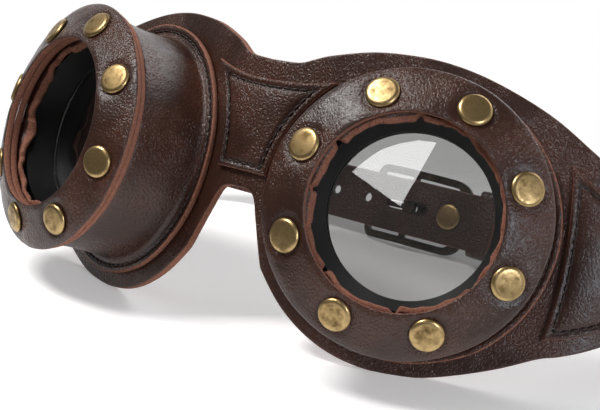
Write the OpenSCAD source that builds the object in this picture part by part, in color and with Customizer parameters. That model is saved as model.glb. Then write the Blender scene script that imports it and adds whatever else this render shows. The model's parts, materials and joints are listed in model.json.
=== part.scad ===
// Steampunk goggles: two deep riveted leather eyecups on a leather mask with a buckled strap.
// Everything is laid out as worn, with the cup axes level, and then leant back as the goggles
// rest on a table: on the lower edges of both lobes and on the buckle at the back.
// Worn frame: x to the right, y towards the head, z up, with y = 0 on the mask's front face
// and z = 0 level with the cup centres. Each cup has its own frame: z along its axis, outwards.

/* [Eyecups] */
// Distance between the cup centres on the mask's front face
cup_spacing = 96.4; // [95:0.2:104]
// Angle by which each cup turns outwards
cup_splay = 20.9; // [14:0.1:25]
// Height of the eye opening above the mask's front face
cup_depth = 32.8; // [29:0.2:38]
// Diameter of the eye opening in the ring
opening_d = 50; // [47:0.5:52]
// Outer diameter of the riveted ring
ring_od = 74.2; // [72:0.2:78]
// Fall of the ring's face from the opening to its outer edge
ring_fall = 5.9; // [4:0.1:7]
// Thickness of each of the ring's two leather layers
ring_t = 2; // [1.4:0.1:2.4]
// How far the ring stands out past the cup wall
ring_overhang = 2.5; // [1.8:0.1:3.2]
// Radius of the cup wall where it meets its flange
wall_base_r = 34; // [33.6:0.1:34.6]
// Depth of the wall's waist between its two ends
wall_waist = 0.8; // [0:0.1:1.2]
// Thickness of the cup wall's leather
wall_t = 1.8; // [1.4:0.1:2]
// Width of the sewn flange at the foot of the wall
flange_w = 4.5; // [3.5:0.1:6]
// Number of tabs cut into the wall's turned-in edge
tab_count = 22; // [16:1:28]

/* [Lenses] */
// Clear diameter of each lens
lens_clear_d = 43.6; // [40:0.2:44]
// Depth of the lens below the plane of the eye opening
lens_setback = 15.7; // [14:0.1:18]
// Thickness of the lens
lens_t = 2; // [1.5:0.1:2.5]
// Width of the lip that the lens seats against
lens_lip = 1.2; // [0.8:0.1:1.6]
// Height of the ring that holds the lens from behind
retainer_h = 2; // [1.5:0.1:3]
// Wall of the plastic sleeve
sleeve_t = 1.4; // [1:0.1:1.8]

/* [Mask] */
// Thickness of the mask's leather
mask_t = 2.2; // [1.8:0.1:2.8]
// Half width of the bridge's curve
bridge_half_w = 12; // [8:0.5:12]
// Height of the mask's top edge over the bridge
bridge_top = 32.6; // [31:0.2:36]
// Height of the nose notch's top, below the cup centres
notch_depth = 4; // [1:0.5:8]
// Radius of the bend from the lobe to the temple
wing_r = 32; // [26:1:40]
// Length of the straight tab that carries the strap
tab_l = 17.5; // [16:0.5:26]
// Margin of the tab above and below the strap
tab_margin = 2.5; // [1:0.5:5]
// Thickness of the sewn patches
patch_t = 1.6; // [1:0.1:2]
// Gap between the bridge patch's curved sides and the cups' flanges
patch_gap = 4.6; // [3:0.2:6]
// Least gap between a temple patch and the cup's flange
temple_gap = 2.2; // [1:0.1:4]

/* [Strap] */
// Width of the strap
strap_w = 19; // [16:0.5:22]
// Thickness of the strap
strap_t = 1.8; // [1.4:0.1:2.2]
// Height of the strap's centre above the cup centres
strap_z = 7.5; // [4:0.5:10]
// Distance from the mask's front face back to the buckle's centre bar
loop_depth = 103; // [96:1:130]
// Radius of the strap's bend behind the temple
strap_bend_r = 38; // [30:1:40]
// Distance between neighbouring holes in the strap
hole_pitch = 13; // [11:0.5:15]
// Diameter of the round holes in the strap
hole_d = 3.2; // [2.6:0.1:4]
// Length of the strap's free end past the centre bar
tip_l = 46; // [40:1:50]
// Length of the end folded round the centre bar
flap_l = 23; // [22:0.5:26]

/* [Buckle] */
// Length of the buckle frame along the strap
buckle_l = 37.6; // [36:0.2:44]
// Width of the metal of the buckle frame
frame_w = 2.5; // [2:0.1:3]
// Thickness of the metal of the buckle frame
frame_t = 1.9; // [1.6:0.1:2.4]
// Distance of the centre bar to the left of the middle
bar_offset = 9; // [0:0.5:14]
// Thickness of the prong
prong_d = 1.9; // [1.5:0.1:2.2]
// Thickness of the sliding keeper's leather
keeper_t = 1.5; // [1.2:0.1:2]
// Width of the sliding keeper along the strap
keeper_w = 8; // [6:0.5:10]
// Distance from the centre bar to the keeper's near edge
keeper_x = 27; // [26:0.5:32]

/* [Rivets] */
// Diameter of a rivet's domed cap
cap_d = 9; // [8:0.1:9.6]
// Height of a rivet's domed cap
cap_h = 1.3; // [1:0.1:1.8]
// Diameter of a rivet's back cap
back_d = 7.2; // [6:0.1:7.6]
// Height of a rivet's back cap
back_h = 0.9; // [0.6:0.1:1.1]
// Diameter of a rivet's post
post_d = 3; // [2.4:0.1:3.4]
// Number of rivets round each ring
rivet_count = 8; // [6:1:9]
// Angle of the right ring's first rivet
rivet_turn_right = 26; // [0:1:44]
// Angle of the left ring's first rivet
rivet_turn_left = 30; // [0:1:44]

/* [Fits] */
// Gap between leather layers, and between leather and rivet caps
layer_gap = 0.05; // [0.02:0.01:0.1]
// Radial clearance of the prong and the strap's fold on the centre bar
bar_fit = 0.06; // [0.02:0.01:0.1]
// Gap of the keeper round the straps
keeper_gap = 0.35; // [0.3:0.05:0.6]
// Gap between the strap and the buckle frame's end bars
bar_gap = 0.6; // [0.5:0.05:1.2]

/* [Hidden] */
$fn = 96;

leather = [0.20, 0.12, 0.09];
raw_leather = [0.42, 0.27, 0.19];
brass = [0.66, 0.54, 0.32];
black_plastic = [0.06, 0.06, 0.07];
smoke_lens = [0.45, 0.47, 0.50, 0.5];

// How far a cutting solid runs past the solid it cuts
past = 10;
cup_x = cup_spacing / 2;
opening_r = opening_d / 2;
ring_r = ring_od / 2;
flange_r = wall_base_r + flange_w;
wall_top_r = ring_r - ring_overhang;

// The ring is a shallow cone. Layers are stacked under its face, square to it.
ring_slope = atan2(ring_fall, ring_r - opening_r);
function under_face(r, depth) =
    cup_depth - (r - opening_r) * tan(ring_slope) - depth / cos(ring_slope);
under_ring_at = ring_t + layer_gap;
tabs_at = under_ring_at + ring_t + layer_gap;
tabs_end = tabs_at + wall_t;
rivet_circle_r = (opening_r + ring_r) / 2 - 0.35;
// The back caps are flat and the tabs are a cone, so the caps seat on their rims
back_seat = sin(ring_slope) * back_d * back_d / (8 * (rivet_circle_r - tabs_end * sin(ring_slope)));
shoulder_at = tabs_end + back_seat + back_h + 3 * layer_gap;

// Wall, flange and tabs
flange_fillet = 1.6;
crown = 1.4;
foot_h = layer_gap + wall_t;
tab_edge_r = opening_r - 0.4;
tab_notch = 2.6;
wall_steps = 10;
wall_shoulder_h = under_face(wall_top_r, tabs_at) - crown;
function wall_r_at(s) = wall_base_r + (wall_top_r - wall_base_r) * s - 4 * wall_waist * s * (1 - s);
function wall_line(inset) = [for (i = [0:wall_steps])
    let (s = i / wall_steps)
    [wall_r_at(s) - inset, foot_h + flange_fillet + (wall_shoulder_h - foot_h - flange_fillet) * s]];
function reversed(list) = [for (i = [len(list) - 1:-1:0]) list[i]];
function arc(c, r, a0, a1, n) = [for (i = [0:n])
    let (a = a0 + (a1 - a0) * i / n) [c[0] + r * cos(a), c[1] + r * sin(a)]];

// Sleeve and lens
lens_h = cup_depth - lens_setback;
lens_clear_r = lens_clear_d / 2;
lens_r = lens_clear_r + lens_lip;
sleeve_r = min([for (i = [0:wall_steps]) wall_r_at(i / wall_steps)]) - wall_t - 0.15;
throat_r = lens_r + 0.1;
throat_top_r = min(tab_edge_r, throat_r + sleeve_t + 0.2);
mask_hole_r = sleeve_r - sleeve_t + 0.3;

// Mask plan: a bridge curve, two flat lobes square to the cup axes, and bends to the temples.
// Places on the mask are given by s, the distance along its front face from the middle.
bridge_r = bridge_half_w / sin(cup_splay);
bridge_len = bridge_r * cup_splay * PI / 180;
bridge_c_y = bridge_r * cos(cup_splay) - (cup_x - bridge_half_w) * tan(cup_splay);
lobe_end = flange_r + 2;
cup_s = bridge_len + (cup_x - bridge_half_w) / cos(cup_splay);
wing_s = cup_s + lobe_end;
tab_s = wing_s + wing_r * (90 - cup_splay) * PI / 180;
end_s = tab_s + tab_l;
wing_c = [cup_x + lobe_end * cos(cup_splay) - wing_r * sin(cup_splay),
    lobe_end * sin(cup_splay) + wing_r * cos(cup_splay)];
side_x = wing_c[0] + wing_r;
tab_end_y = wing_c[1] + tab_l;
function heading(s) = s < bridge_len ? s / bridge_r * 180 / PI
    : s < wing_s ? cup_splay : min(90, cup_splay + (s - wing_s) / wing_r * 180 / PI);
function plan_at(s) = let (a = heading(s))
    s < bridge_len ? [bridge_r * sin(a), bridge_c_y - bridge_r * cos(a)]
    : s < wing_s ? [cup_x + (s - cup_s) * cos(a), (s - cup_s) * sin(a)]
    : s < tab_s ? [wing_c[0] + wing_r * sin(a), wing_c[1] - wing_r * cos(a)]
    : [side_x, wing_c[1] + s - tab_s];
// Point at s along the mask and a depth behind its front face
function on_mask(s, depth) = let (a = heading(abs(s)), p = plan_at(abs(s)))
    [sign(s) * (p[0] - depth * sin(a)), p[1] + depth * cos(a)];

// Mask outline. Each lobe's edge is given round the cup as [angle, margin beyond the flange].
lobe_top = [[133, 12.4], [121, 9.1], [110, 6.7], [97, 5], [82, 4.1], [65, 4.8], [50, 7.5]];
lobe_bottom = [[-146, 6.1], [-133, 5.5], [-120, 5], [-108, 4.5], [-96, 3.9], [-84, 3.5],
    [-72, 3.6], [-58, 4.3], [-45, 6.6]];
bridge_side_top = 35.2;
bridge_side_bottom = -22.3;
wing_top_z = 29.6;
wing_bottom_z = -26.9;
tab_top_z = strap_z + strap_w / 2 + tab_margin;
tab_bottom_z = strap_z - strap_w / 2 - tab_margin;
tab_corner_r = 5;
lobe_lowest = flange_r + 3.5;
function round_lobe(p) = [cup_s + (flange_r + p[1]) * cos(p[0]), (flange_r + p[1]) * sin(p[0])];
function blend(a, b, c, d, t) = 0.5 * (2 * b + (c - a) * t
    + (2 * a - 5 * b + 4 * c - d) * t * t + (3 * b - a - 3 * c + d) * t * t * t);
function smooth(p, n) = [for (i = [0:len(p) - 2], j = [0:n - 1])
    blend(p[max(i - 1, 0)], p[i], p[i + 1], p[min(i + 2, len(p) - 1)], j / n), p[len(p) - 1]];
function wing_top(k) = tab_top_z + (wing_top_z - tab_top_z) * pow(1 - k, 1.9);
function wing_bottom(k) = tab_bottom_z
    + (wing_bottom_z - tab_bottom_z) * pow(1 - k, 1.2) * (1 + 0.6 * k);
wing_ks = [0, 0.12, 0.25, 0.4, 0.55, 0.7, 0.85, 1];
function wing_line_s(k) = wing_s + (tab_s - wing_s) * k;
mask_top = smooth(concat([[0, bridge_top], [bridge_len * 0.65, bridge_top + 0.6],
    [bridge_len, bridge_side_top]], [for (p = lobe_top) round_lobe(p)],
    [for (k = wing_ks) [wing_line_s(k), wing_top(k)]], [[end_s, tab_top_z]]), 4);
mask_bottom = smooth(concat([[0, -notch_depth], [bridge_len * 0.25, -notch_depth - 0.2],
    [bridge_len * 0.47, -notch_depth - 1.8], [bridge_len * 0.68, -notch_depth - 8],
    [bridge_len, bridge_side_bottom]], [for (p = lobe_bottom) round_lobe(p)],
    [for (k = wing_ks) [wing_line_s(k), wing_bottom(k)]], [[end_s, tab_bottom_z]]), 4);
// How far the tab's rounded corners cut into its height at s
function corner_cut(s) = let (d = s - end_s + tab_corner_r)
    d <= 0 ? 0 : tab_corner_r - sqrt(max(0, tab_corner_r * tab_corner_r - d * d));
mask_step = 2.4;
notch_step = 1.1;
notch_steps = floor((bridge_len + 4) / notch_step);
mask_half_stations = concat(
    [for (i = [1:notch_steps]) i * notch_step],
    [for (i = [1:floor((end_s - tab_corner_r - notch_steps * notch_step) / mask_step - 0.3)])
        notch_steps * notch_step + i * mask_step],
    [for (a = [0:15:90]) end_s - tab_corner_r + tab_corner_r * sin(a)]);
mask_stations = concat(reversed([for (s = mask_half_stations) -s]), [0], mask_half_stations);

// Strap plan
strap_side_x = side_x - mask_t - layer_gap;
bar_r = frame_w / 2;
fold_r = bar_r + bar_fit;
right_run = loop_depth - fold_r - strap_t / 2;
free_run_inner = -fold_r + strap_t + layer_gap + back_h + layer_gap * 2;
left_run = loop_depth + free_run_inner + strap_t / 2;
strap_start_y = wing_c[1] - 0.5;
bar_x = -bar_offset;
fold_slope = 20;
flap_mid = -fold_r + layer_gap + strap_t / 2;
fold_mid_r = fold_r + strap_t / 2;
hump_r = fold_r + strap_t + 0.15 + strap_t / 2;
hump_mid = free_run_inner + strap_t / 2;
hump_foot = hump_r * sin(fold_slope) + (hump_r * cos(fold_slope) - hump_mid) / tan(fold_slope);
flap_foot = fold_mid_r * sin(fold_slope)
    + (fold_mid_r * cos(fold_slope) - flap_mid) / tan(fold_slope);
fold_slot_w = 4.4;
prong_slot_w = prong_d + 0.9;
tip_r = strap_w * 0.6;

// Buckle: the frame is bowed, so that its end bars pass outside the free strap
strap_clear_y = free_run_inner + strap_t + bar_gap;
bar_inner_x = buckle_l / 2 - frame_w;
bow_r = (bar_inner_x * bar_inner_x + strap_clear_y * strap_clear_y - frame_t * frame_t / 4)
    / (frame_t + 2 * strap_clear_y);
function bow_face(x) = bow_r - sqrt(pow(bow_r - frame_t / 2, 2) - x * x);
frame_half_h = strap_w / 2 + 1.1 + frame_w;
frame_corner_r = 5;
bar_edge = [buckle_l / 2, bow_face(buckle_l / 2)];
prong_angle = atan2(bar_edge[1], bar_edge[0]) + asin((prong_d / 2 + layer_gap) / norm(bar_edge));
prong_exit = (free_run_inner + strap_t + prong_d / 2 / cos(prong_angle)) / tan(prong_angle);
prong_eye_w = 3.4;
prong_eye_r = fold_r + 1.1;
fold_rivet_x = 17;
cap_room = cap_d / 2 + 0.75;

// Rest pose: the ground passes through the lobes' lower edges and the buckle's lower corners
flat_cut = 0.6;
lobe_low_y = mask_t / cos(cup_splay);
lobe_low_z = -lobe_lowest + flat_cut;
function corner_x(a) = buckle_l / 2 - frame_corner_r + frame_corner_r * sin(a);
function corner_z(a) = frame_half_h - frame_corner_r + frame_corner_r * cos(a);
ground_turn = 15;
frame_low_y = loop_depth + bow_face(corner_x(ground_turn));
frame_low_z = strap_z - corner_z(ground_turn);
lean = atan2(frame_low_z - lobe_low_z, frame_low_y - lobe_low_y);
rest_z = lobe_low_y * sin(lean) - lobe_low_z * cos(lean);
cup_face_y = cos(cup_splay) * cos(lean);
front_y = min(concat(
    [for (p = [[opening_r, cup_depth], [ring_r, cup_depth - ring_fall]])
        -p[1] * cup_face_y - p[0] * sqrt(1 - cup_face_y * cup_face_y)],
    [for (i = [0:rivet_count - 1], side = [-1, 1])
        let (a = 360 * i / rivet_count + (side > 0 ? rivet_turn_right : rivet_turn_left),
            h = under_face(rivet_circle_r, 0) + cap_h)
        -h * cup_face_y + rivet_circle_r * (cos(a) * side * sin(cup_splay) * cos(lean)
            + sin(a) * sin(lean)) - 0.8]));
back_y = max([for (a = [0:10:90])
    (loop_depth + bow_face(corner_x(a))) * cos(lean) + (strap_z + corner_z(a)) * sin(lean)]);
rest_y = -(front_y + back_y) / 2;

module as_rested() {
    translate([0, rest_y, rest_z]) rotate([-lean, 0, 0]) children();
}

// Places children on a cup's axis in the worn frame, with z outwards
module on_cup(side) {
    translate([side * cup_x, 0, 0]) rotate([0, 0, side * cup_splay]) rotate([90, 0, 0]) children();
}

module at_cup(side) {
    as_rested() on_cup(side) children();
}

module right_or_left(side) {
    if (side > 0) children();
    else mirror([1, 0, 0]) children();
}

// Leather sheet that follows the mask, between two depths behind its front face. stations
// holds places along the mask, and low and high hold the sheet's edges there.
module sheet(stations, near, far, low, high) {
    n = len(stations);
    points = [for (i = [0:n - 1]) let (a = on_mask(stations[i], near), b = on_mask(stations[i], far))
        each [[a[0], a[1], low[i]], [a[0], a[1], high[i]], [b[0], b[1], high[i]], [b[0], b[1], low[i]]]];
    sides = [for (i = [0:n - 2], j = [0:3])
        let (a = 4 * i + j, b = 4 * i + (j + 1) % 4)
        each [[a, b, b + 4], [a, b + 4, a + 4]]];
    last = 4 * (n - 1);
    polyhedron(points, concat(sides, [[2, 1, 0], [3, 2, 0],
        [last, last + 1, last + 2], [last, last + 2, last + 3]]));
}

module mask_blank() {
    sheet(mask_stations, 0, mask_t,
        [for (s = mask_stations) lookup(abs(s), mask_bottom) + corner_cut(abs(s))],
        [for (s = mask_stations) lookup(abs(s), mask_top) - corner_cut(abs(s))]);
}

// The ground, used to press the lobes' lower edges flat
module below_ground() {
    span = side_x * 2 + past * 2;
    translate([-span / 2, -span, -past]) cube([span, span * 2, past]);
}

module mask_base() {
    color(leather) difference() {
        as_rested() difference() {
            mask_blank();
            for (side = [-1, 1]) {
                on_cup(side) translate([0, 0, -mask_t - 2]) cylinder(r = mask_hole_r, h = mask_t + 4);
                right_or_left(side) at_temple_rivets()
                    translate([0, 0, -mask_t - 1]) cylinder(d = post_d + 0.1, h = mask_t + 2);
            }
        }
        below_ground();
    }
}

module bridge_patch() {
    edge_r = flange_r + patch_gap;
    top_margin = 2.2;
    low = 0.6;
    high = bridge_top - top_margin;
    half_s = cup_s - sqrt(edge_r * edge_r - high * high);
    sag = 3.6;
    steps = 9;
    stations = [for (i = [-steps:steps]) half_s * i / steps];
    color(leather) as_rested() difference() {
        sheet(stations, -layer_gap - patch_t, -layer_gap, [for (s = stations) low],
            [for (s = stations) high - sag * (1 - pow(s / half_s, 2))]);
        for (side = [-1, 1]) on_cup(side) cylinder(r = edge_r, h = patch_t * 8, center = true);
    }
}

// Patch over the bend to the temple, with a nearly straight edge beside the cup
module temple_patch(side) {
    edge_r = 134;
    edge_low = 10;
    inset_top = 7.4;
    inset_bottom = 5;
    steps = 14;
    near_s = wing_s - 5;
    far_s = wing_line_s(0.84);
    stations = [for (i = [0:steps]) near_s + (far_s - near_s) * i / steps];
    color(leather) as_rested() right_or_left(side) difference() {
        sheet(stations, -layer_gap - patch_t, -layer_gap,
            [for (s = stations) lookup(s, mask_bottom) + inset_bottom],
            [for (s = stations) lookup(s, mask_top) - inset_top]);
        on_cup(1) translate([flange_r + temple_gap - edge_r, -edge_low, 0])
            cylinder(r = edge_r, h = patch_t * 8, center = true, $fn = 360);
    }
}

// One leather layer of the ring, from one depth under the ring's face to another
module ring_layer(depth, hole_r, outer_r) {
    low_shift = ring_t * sin(ring_slope);
    rotate_extrude() polygon([
        [hole_r, under_face(hole_r, depth)],
        [outer_r, under_face(outer_r, depth)],
        [outer_r - low_shift, under_face(outer_r, depth) - ring_t * cos(ring_slope)],
        [hole_r, under_face(hole_r, depth + ring_t)]]);
}

// Places children on the ring's face at each rivet, with z along the rivet
module at_ring_rivets(side) {
    turn = side > 0 ? rivet_turn_right : rivet_turn_left;
    for (i = [0:rivet_count - 1])
        rotate([0, 0, turn + 360 * i / rivet_count])
            translate([rivet_circle_r, 0, under_face(rivet_circle_r, 0)])
                rotate([0, ring_slope, 0]) children();
}

module ring_rivet_holes(side) {
    at_ring_rivets(side) translate([0, 0, -tabs_end - 1]) cylinder(d = post_d + 0.1, h = tabs_end + 2);
}

module front_ring(side) {
    color(leather) at_cup(side) difference() {
        ring_layer(0, opening_r, ring_r);
        ring_rivet_holes(side);
    }
}

module under_ring(side) {
    low_shift = under_ring_at * sin(ring_slope);
    color(raw_leather) at_cup(side) difference() {
        ring_layer(under_ring_at, opening_r + 0.3, ring_r - low_shift + 0.2);
        ring_rivet_holes(side);
    }
}

// Edge of the turned-in tabs: a wavy line with a notch between neighbouring tabs. Each tab has
// six points, of which the first is the notch and its neighbours are the tab's blunt corners.
function tab_outline(side) = [for (i = [0:tab_count * 6 - 1])
    let (a = 360 * i / (tab_count * 6),
        wave = 0.4 * sin(5 * a + 40 * side) + 0.28 * sin(9 * a + 70),
        notch = i % 6 == 0 ? tab_notch : (i % 6 == 1 || i % 6 == 5 ? 0.3 : 0),
        r = tab_edge_r + wave + notch)
    [r * cos(a), r * sin(a)]];

module cup_wall(side) {
    outer = wall_line(0);
    inner = wall_line(wall_t);
    top_mid = [wall_top_r - crown, under_face(wall_top_r, tabs_at) - crown];
    color(leather) at_cup(side) difference() {
        rotate_extrude() polygon(concat(
            [[flange_r, layer_gap], [flange_r, foot_h]],
            arc([wall_base_r + flange_fillet, foot_h + flange_fillet], flange_fillet, 270, 180, 4),
            [for (i = [1:wall_steps - 1]) outer[i]],
            arc(top_mid, crown, 0, 90 - ring_slope, 4),
            [[opening_r - 2, under_face(opening_r - 2, tabs_at)],
                [opening_r - 2, under_face(opening_r - 2, tabs_end)],
                [wall_top_r - wall_t, under_face(wall_top_r - wall_t, tabs_end)]],
            [for (i = [wall_steps - 1:-1:1]) inner[i]],
            [[wall_base_r - wall_t, layer_gap]]));
        ring_rivet_holes(side);
        translate([0, 0, lens_h]) linear_extrude(cup_depth) polygon(tab_outline(side));
    }
}

module lens_sleeve(side) {
    lip_t = 0.8;
    inner_r = sleeve_r - sleeve_t;
    tube_r = throat_r + sleeve_t;
    tube_low = lens_h - lens_t - retainer_h;
    shoulder_under = shoulder_at + sleeve_t + 0.6;
    color(black_plastic) at_cup(side) rotate_extrude() polygon([
        [inner_r, layer_gap], [sleeve_r, layer_gap], [sleeve_r, under_face(sleeve_r, shoulder_at)],
        [throat_top_r, under_face(throat_top_r, shoulder_at)],
        [lens_clear_r, lens_h + lip_t], [lens_clear_r, lens_h],
        [throat_r, lens_h], [throat_r, tube_low], [tube_r, tube_low],
        [tube_r, under_face(tube_r, shoulder_under)], [inner_r, under_face(inner_r, shoulder_under)]]);
}

module lens(side) {
    color(smoke_lens) at_cup(side) translate([0, 0, lens_h - layer_gap - lens_t])
        cylinder(r = lens_r, h = lens_t);
}

module lens_retainer(side) {
    color(black_plastic) at_cup(side)
        translate([0, 0, lens_h - 2 * layer_gap - lens_t - retainer_h]) difference() {
            cylinder(r = lens_r, h = retainer_h);
            translate([0, 0, -1]) cylinder(r = lens_clear_r, h = retainer_h + 2);
        }
}

// Double-cap rivet through a stack of leather: z = 0 on the leather's face, the stack below it
module rivet(stack, front_d, rear_d) {
    rim = 0.5;
    dome_r = (front_d * front_d / 4 + pow(cap_h - rim, 2)) / (2 * (cap_h - rim));
    dome_a = asin(front_d / 2 / dome_r);
    rear_edge = 0.35;
    rotate_extrude() polygon(concat(
        [[0, -stack - layer_gap - back_h], [rear_d / 2 - 1, -stack - layer_gap - back_h],
            [rear_d / 2, -stack - layer_gap - rear_edge], [rear_d / 2, -stack - layer_gap],
            [post_d / 2, -stack - layer_gap], [post_d / 2, layer_gap],
            [front_d / 2 - 0.15, layer_gap], [front_d / 2, layer_gap + 0.15]],
        [for (i = [0:8]) let (a = dome_a * (1 - i / 8))
            [dome_r * sin(a), layer_gap + cap_h - dome_r + dome_r * cos(a)]]));
}

module ring_rivets(side) {
    color(brass) at_cup(side) at_ring_rivets(side) rivet(tabs_end + back_seat, cap_d, back_d);
}

// Children stand on the right tab's outer face, z outwards, at each of its two rivets
module at_temple_rivets() {
    for (y = [tab_end_y - cap_room, tab_end_y - cap_room - cap_d - 1])
        translate([side_x, y, strap_z]) rotate([0, 90, 0]) children();
}

module temple_rivets(side) {
    color(brass) as_rested() right_or_left(side) at_temple_rivets()
        rivet(mask_t + layer_gap + strap_t, cap_d, back_d);
}

// Outline of a strip of thickness t along a line of points, mitred at each bend
function unit(v) = v / norm(v);
function strip_side(p, d) = [for (i = [0:len(p) - 1])
    let (a = i > 0 ? unit(p[i] - p[i - 1]) : unit(p[1] - p[0]),
        b = i < len(p) - 1 ? unit(p[i + 1] - p[i]) : a,
        m = unit(a + b), n = [-m[1], m[0]])
    p[i] + n * d / (m * a)];
function strip(p, t) = concat(strip_side(p, t / 2), reversed(strip_side(p, -t / 2)));

// Line of the strap's middle from its front end to the start of its rear run, on the right
function strap_side_line(run_y) =
    let (x = strap_side_x - strap_t / 2)
    concat([[x, strap_start_y]],
        arc([x - strap_bend_r, run_y - strap_bend_r], strap_bend_r, 0, 90, 15));

module strap_strip(line) {
    translate([0, 0, strap_z - strap_w / 2]) linear_extrude(strap_w) polygon(strip(line, strap_t));
}

// Round hole through the rear run at x
module strap_hole(x, d) {
    translate([x, loop_depth - past, strap_z]) rotate([-90, 0, 0]) cylinder(d = d, h = past * 2);
}

// Slot through the rear run from x0 to x1, with round ends
module strap_slot(x0, x1, w) {
    for (x = [x0 + w / 2, x1 - w / 2]) strap_hole(x, w);
    translate([x0 + w / 2, loop_depth - past, strap_z - w / 2]) cube([x1 - x0 - w, past * 2, w]);
}

module strap_front_holes() {
    at_temple_rivets() translate([0, 0, -mask_t - strap_t - 2])
        cylinder(d = post_d + 0.1, h = mask_t + strap_t + 4);
}

module strap_right() {
    wrap = arc([bar_x, loop_depth], fold_mid_r, 270, 90 - fold_slope, 16);
    line = concat(strap_side_line(right_run), wrap,
        [[bar_x + flap_foot, loop_depth + flap_mid], [bar_x + flap_l, loop_depth + flap_mid]]);
    color(leather) as_rested() difference() {
        strap_strip(line);
        translate([bar_x, loop_depth, strap_z - strap_w]) cylinder(r = fold_r, h = strap_w * 2);
        strap_slot(bar_x - fold_mid_r * 2, bar_x + flap_foot + 1, fold_slot_w);
        strap_hole(bar_x + fold_rivet_x, post_d + 0.1);
        strap_front_holes();
    }
}

module strap_left() {
    slot_x0 = bar_x - prong_exit - prong_slot_w / 2;
    in_use = (slot_x0 + bar_x) / 2;
    tip_x = bar_x + tip_l;
    hump = [for (a = [90 + fold_slope, 90, 90 - fold_slope])
        [bar_x + hump_r * cos(a), loop_depth + hump_r * sin(a)]];
    side_line = strap_side_line(left_run);
    line = concat([for (p = side_line) [-p[0], p[1]]],
        [[bar_x - hump_foot, left_run]], hump, [[bar_x + hump_foot, left_run], [tip_x, left_run]]);
    color(leather) as_rested() difference() {
        strap_strip(line);
        for (i = [-2, -1, 1, 2, 3]) strap_hole(in_use + i * hole_pitch, hole_d);
        strap_slot(slot_x0, bar_x + prong_d / 2 + 0.6, prong_slot_w);
        mirror([1, 0, 0]) strap_front_holes();
        // The tip is cut round
        translate([tip_x - tip_r, loop_depth, strap_z]) rotate([90, 0, 0]) difference() {
            translate([0, -strap_w, -past]) cube([strap_w * 2, strap_w * 2, past * 2]);
            translate([0, 0, -past]) cylinder(r = tip_r, h = past * 2);
        }
    }
}

module fold_rivet() {
    color(brass) as_rested()
        translate([bar_x + fold_rivet_x, loop_depth - fold_r - strap_t, strap_z])
            rotate([90, 0, 0]) rivet(2 * strap_t + layer_gap, cap_d, back_d);
}

module rounded_plate(l, w, r, h) {
    linear_extrude(h) union() {
        square([l - 2 * r, w], center = true);
        square([l, w - 2 * r], center = true);
        for (x = [-1, 1], y = [-1, 1]) translate([x * (l / 2 - r), y * (w / 2 - r)]) circle(r);
    }
}

module buckle_frame() {
    inner_r = frame_corner_r - frame_w;
    color(brass) as_rested() translate([bar_x, loop_depth, strap_z]) union() {
        intersection() {
            translate([0, bow_r, -frame_half_h - 1]) difference() {
                cylinder(r = bow_r + frame_t / 2, h = frame_half_h * 2 + 2, $fn = 180);
                translate([0, 0, -1])
                    cylinder(r = bow_r - frame_t / 2, h = frame_half_h * 2 + 4, $fn = 180);
            }
            rotate([-90, 0, 0]) translate([0, 0, -frame_w]) difference() {
                rounded_plate(buckle_l, frame_half_h * 2, frame_corner_r, bow_r);
                translate([0, 0, -1]) rounded_plate(buckle_l - 2 * frame_w,
                    (frame_half_h - frame_w) * 2, inner_r, bow_r + 2);
            }
        }
        translate([0, 0, -frame_half_h + frame_w / 2])
            cylinder(r = bar_r, h = frame_half_h * 2 - frame_w);
    }
}

module buckle_prong() {
    reach = buckle_l / 2 / cos(prong_angle);
    color(brass) as_rested() translate([bar_x, loop_depth, strap_z]) difference() {
        union() {
            translate([0, 0, -prong_eye_w / 2]) cylinder(r = prong_eye_r, h = prong_eye_w);
            rotate([0, 0, -prong_angle]) rotate([0, -90, 0]) {
                cylinder(d = prong_d, h = reach);
                translate([0, 0, reach]) sphere(d = prong_d);
            }
        }
        translate([0, 0, -prong_eye_w]) cylinder(r = fold_r, h = prong_eye_w * 2);
    }
}

module sliding_keeper() {
    inner_low = -fold_r - strap_t - keeper_gap;
    inner_high = free_run_inner + strap_t + keeper_gap;
    depth = inner_high - inner_low;
    height = strap_w + 2 * keeper_gap;
    color(leather) as_rested()
        translate([bar_x + keeper_x, loop_depth + (inner_low + inner_high) / 2, strap_z])
            rotate([90, 0, 90]) difference() {
                rounded_plate(depth + 2 * keeper_t, height + 2 * keeper_t, keeper_t, keeper_w);
                translate([0, 0, -1]) linear_extrude(keeper_w + 2)
                    square([depth, height], center = true);
            }
}

mask_base();
bridge_patch();
temple_patch(-1);  // temple_patch_left
temple_patch(1);  // temple_patch_right
cup_wall(-1);  // cup_wall_left
cup_wall(1);  // cup_wall_right
under_ring(-1);  // under_ring_left
under_ring(1);  // under_ring_right
front_ring(-1);  // front_ring_left
front_ring(1);  // front_ring_right
ring_rivets(-1);  // ring_rivets_left
ring_rivets(1);  // ring_rivets_right
lens_sleeve(-1);  // lens_sleeve_left
lens_sleeve(1);  // lens_sleeve_right
lens(-1);  // lens_left
lens(1);  // lens_right
lens_retainer(-1);  // lens_retainer_left
lens_retainer(1);  // lens_retainer_right
strap_left();
strap_right();
temple_rivets(-1);  // temple_rivets_left
temple_rivets(1);  // temple_rivets_right
fold_rivet();
buckle_frame();
buckle_prong();
sliding_keeper();
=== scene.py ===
"""Steampunk goggles: leather, thread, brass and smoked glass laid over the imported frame.

Pieces are modelled as the goggles are worn, in millimetres, and then leant back as they rest
on a table. Worn frame: x to the right, y towards the head, z up, with y = 0 on the mask's
front face and z = 0 level with the cup centres. Each cup has its own frame, with z along its
axis, outwards.
"""
import json
import math

import bmesh
import bpy
from mathutils import Matrix, Vector, kdtree, noise


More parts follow.
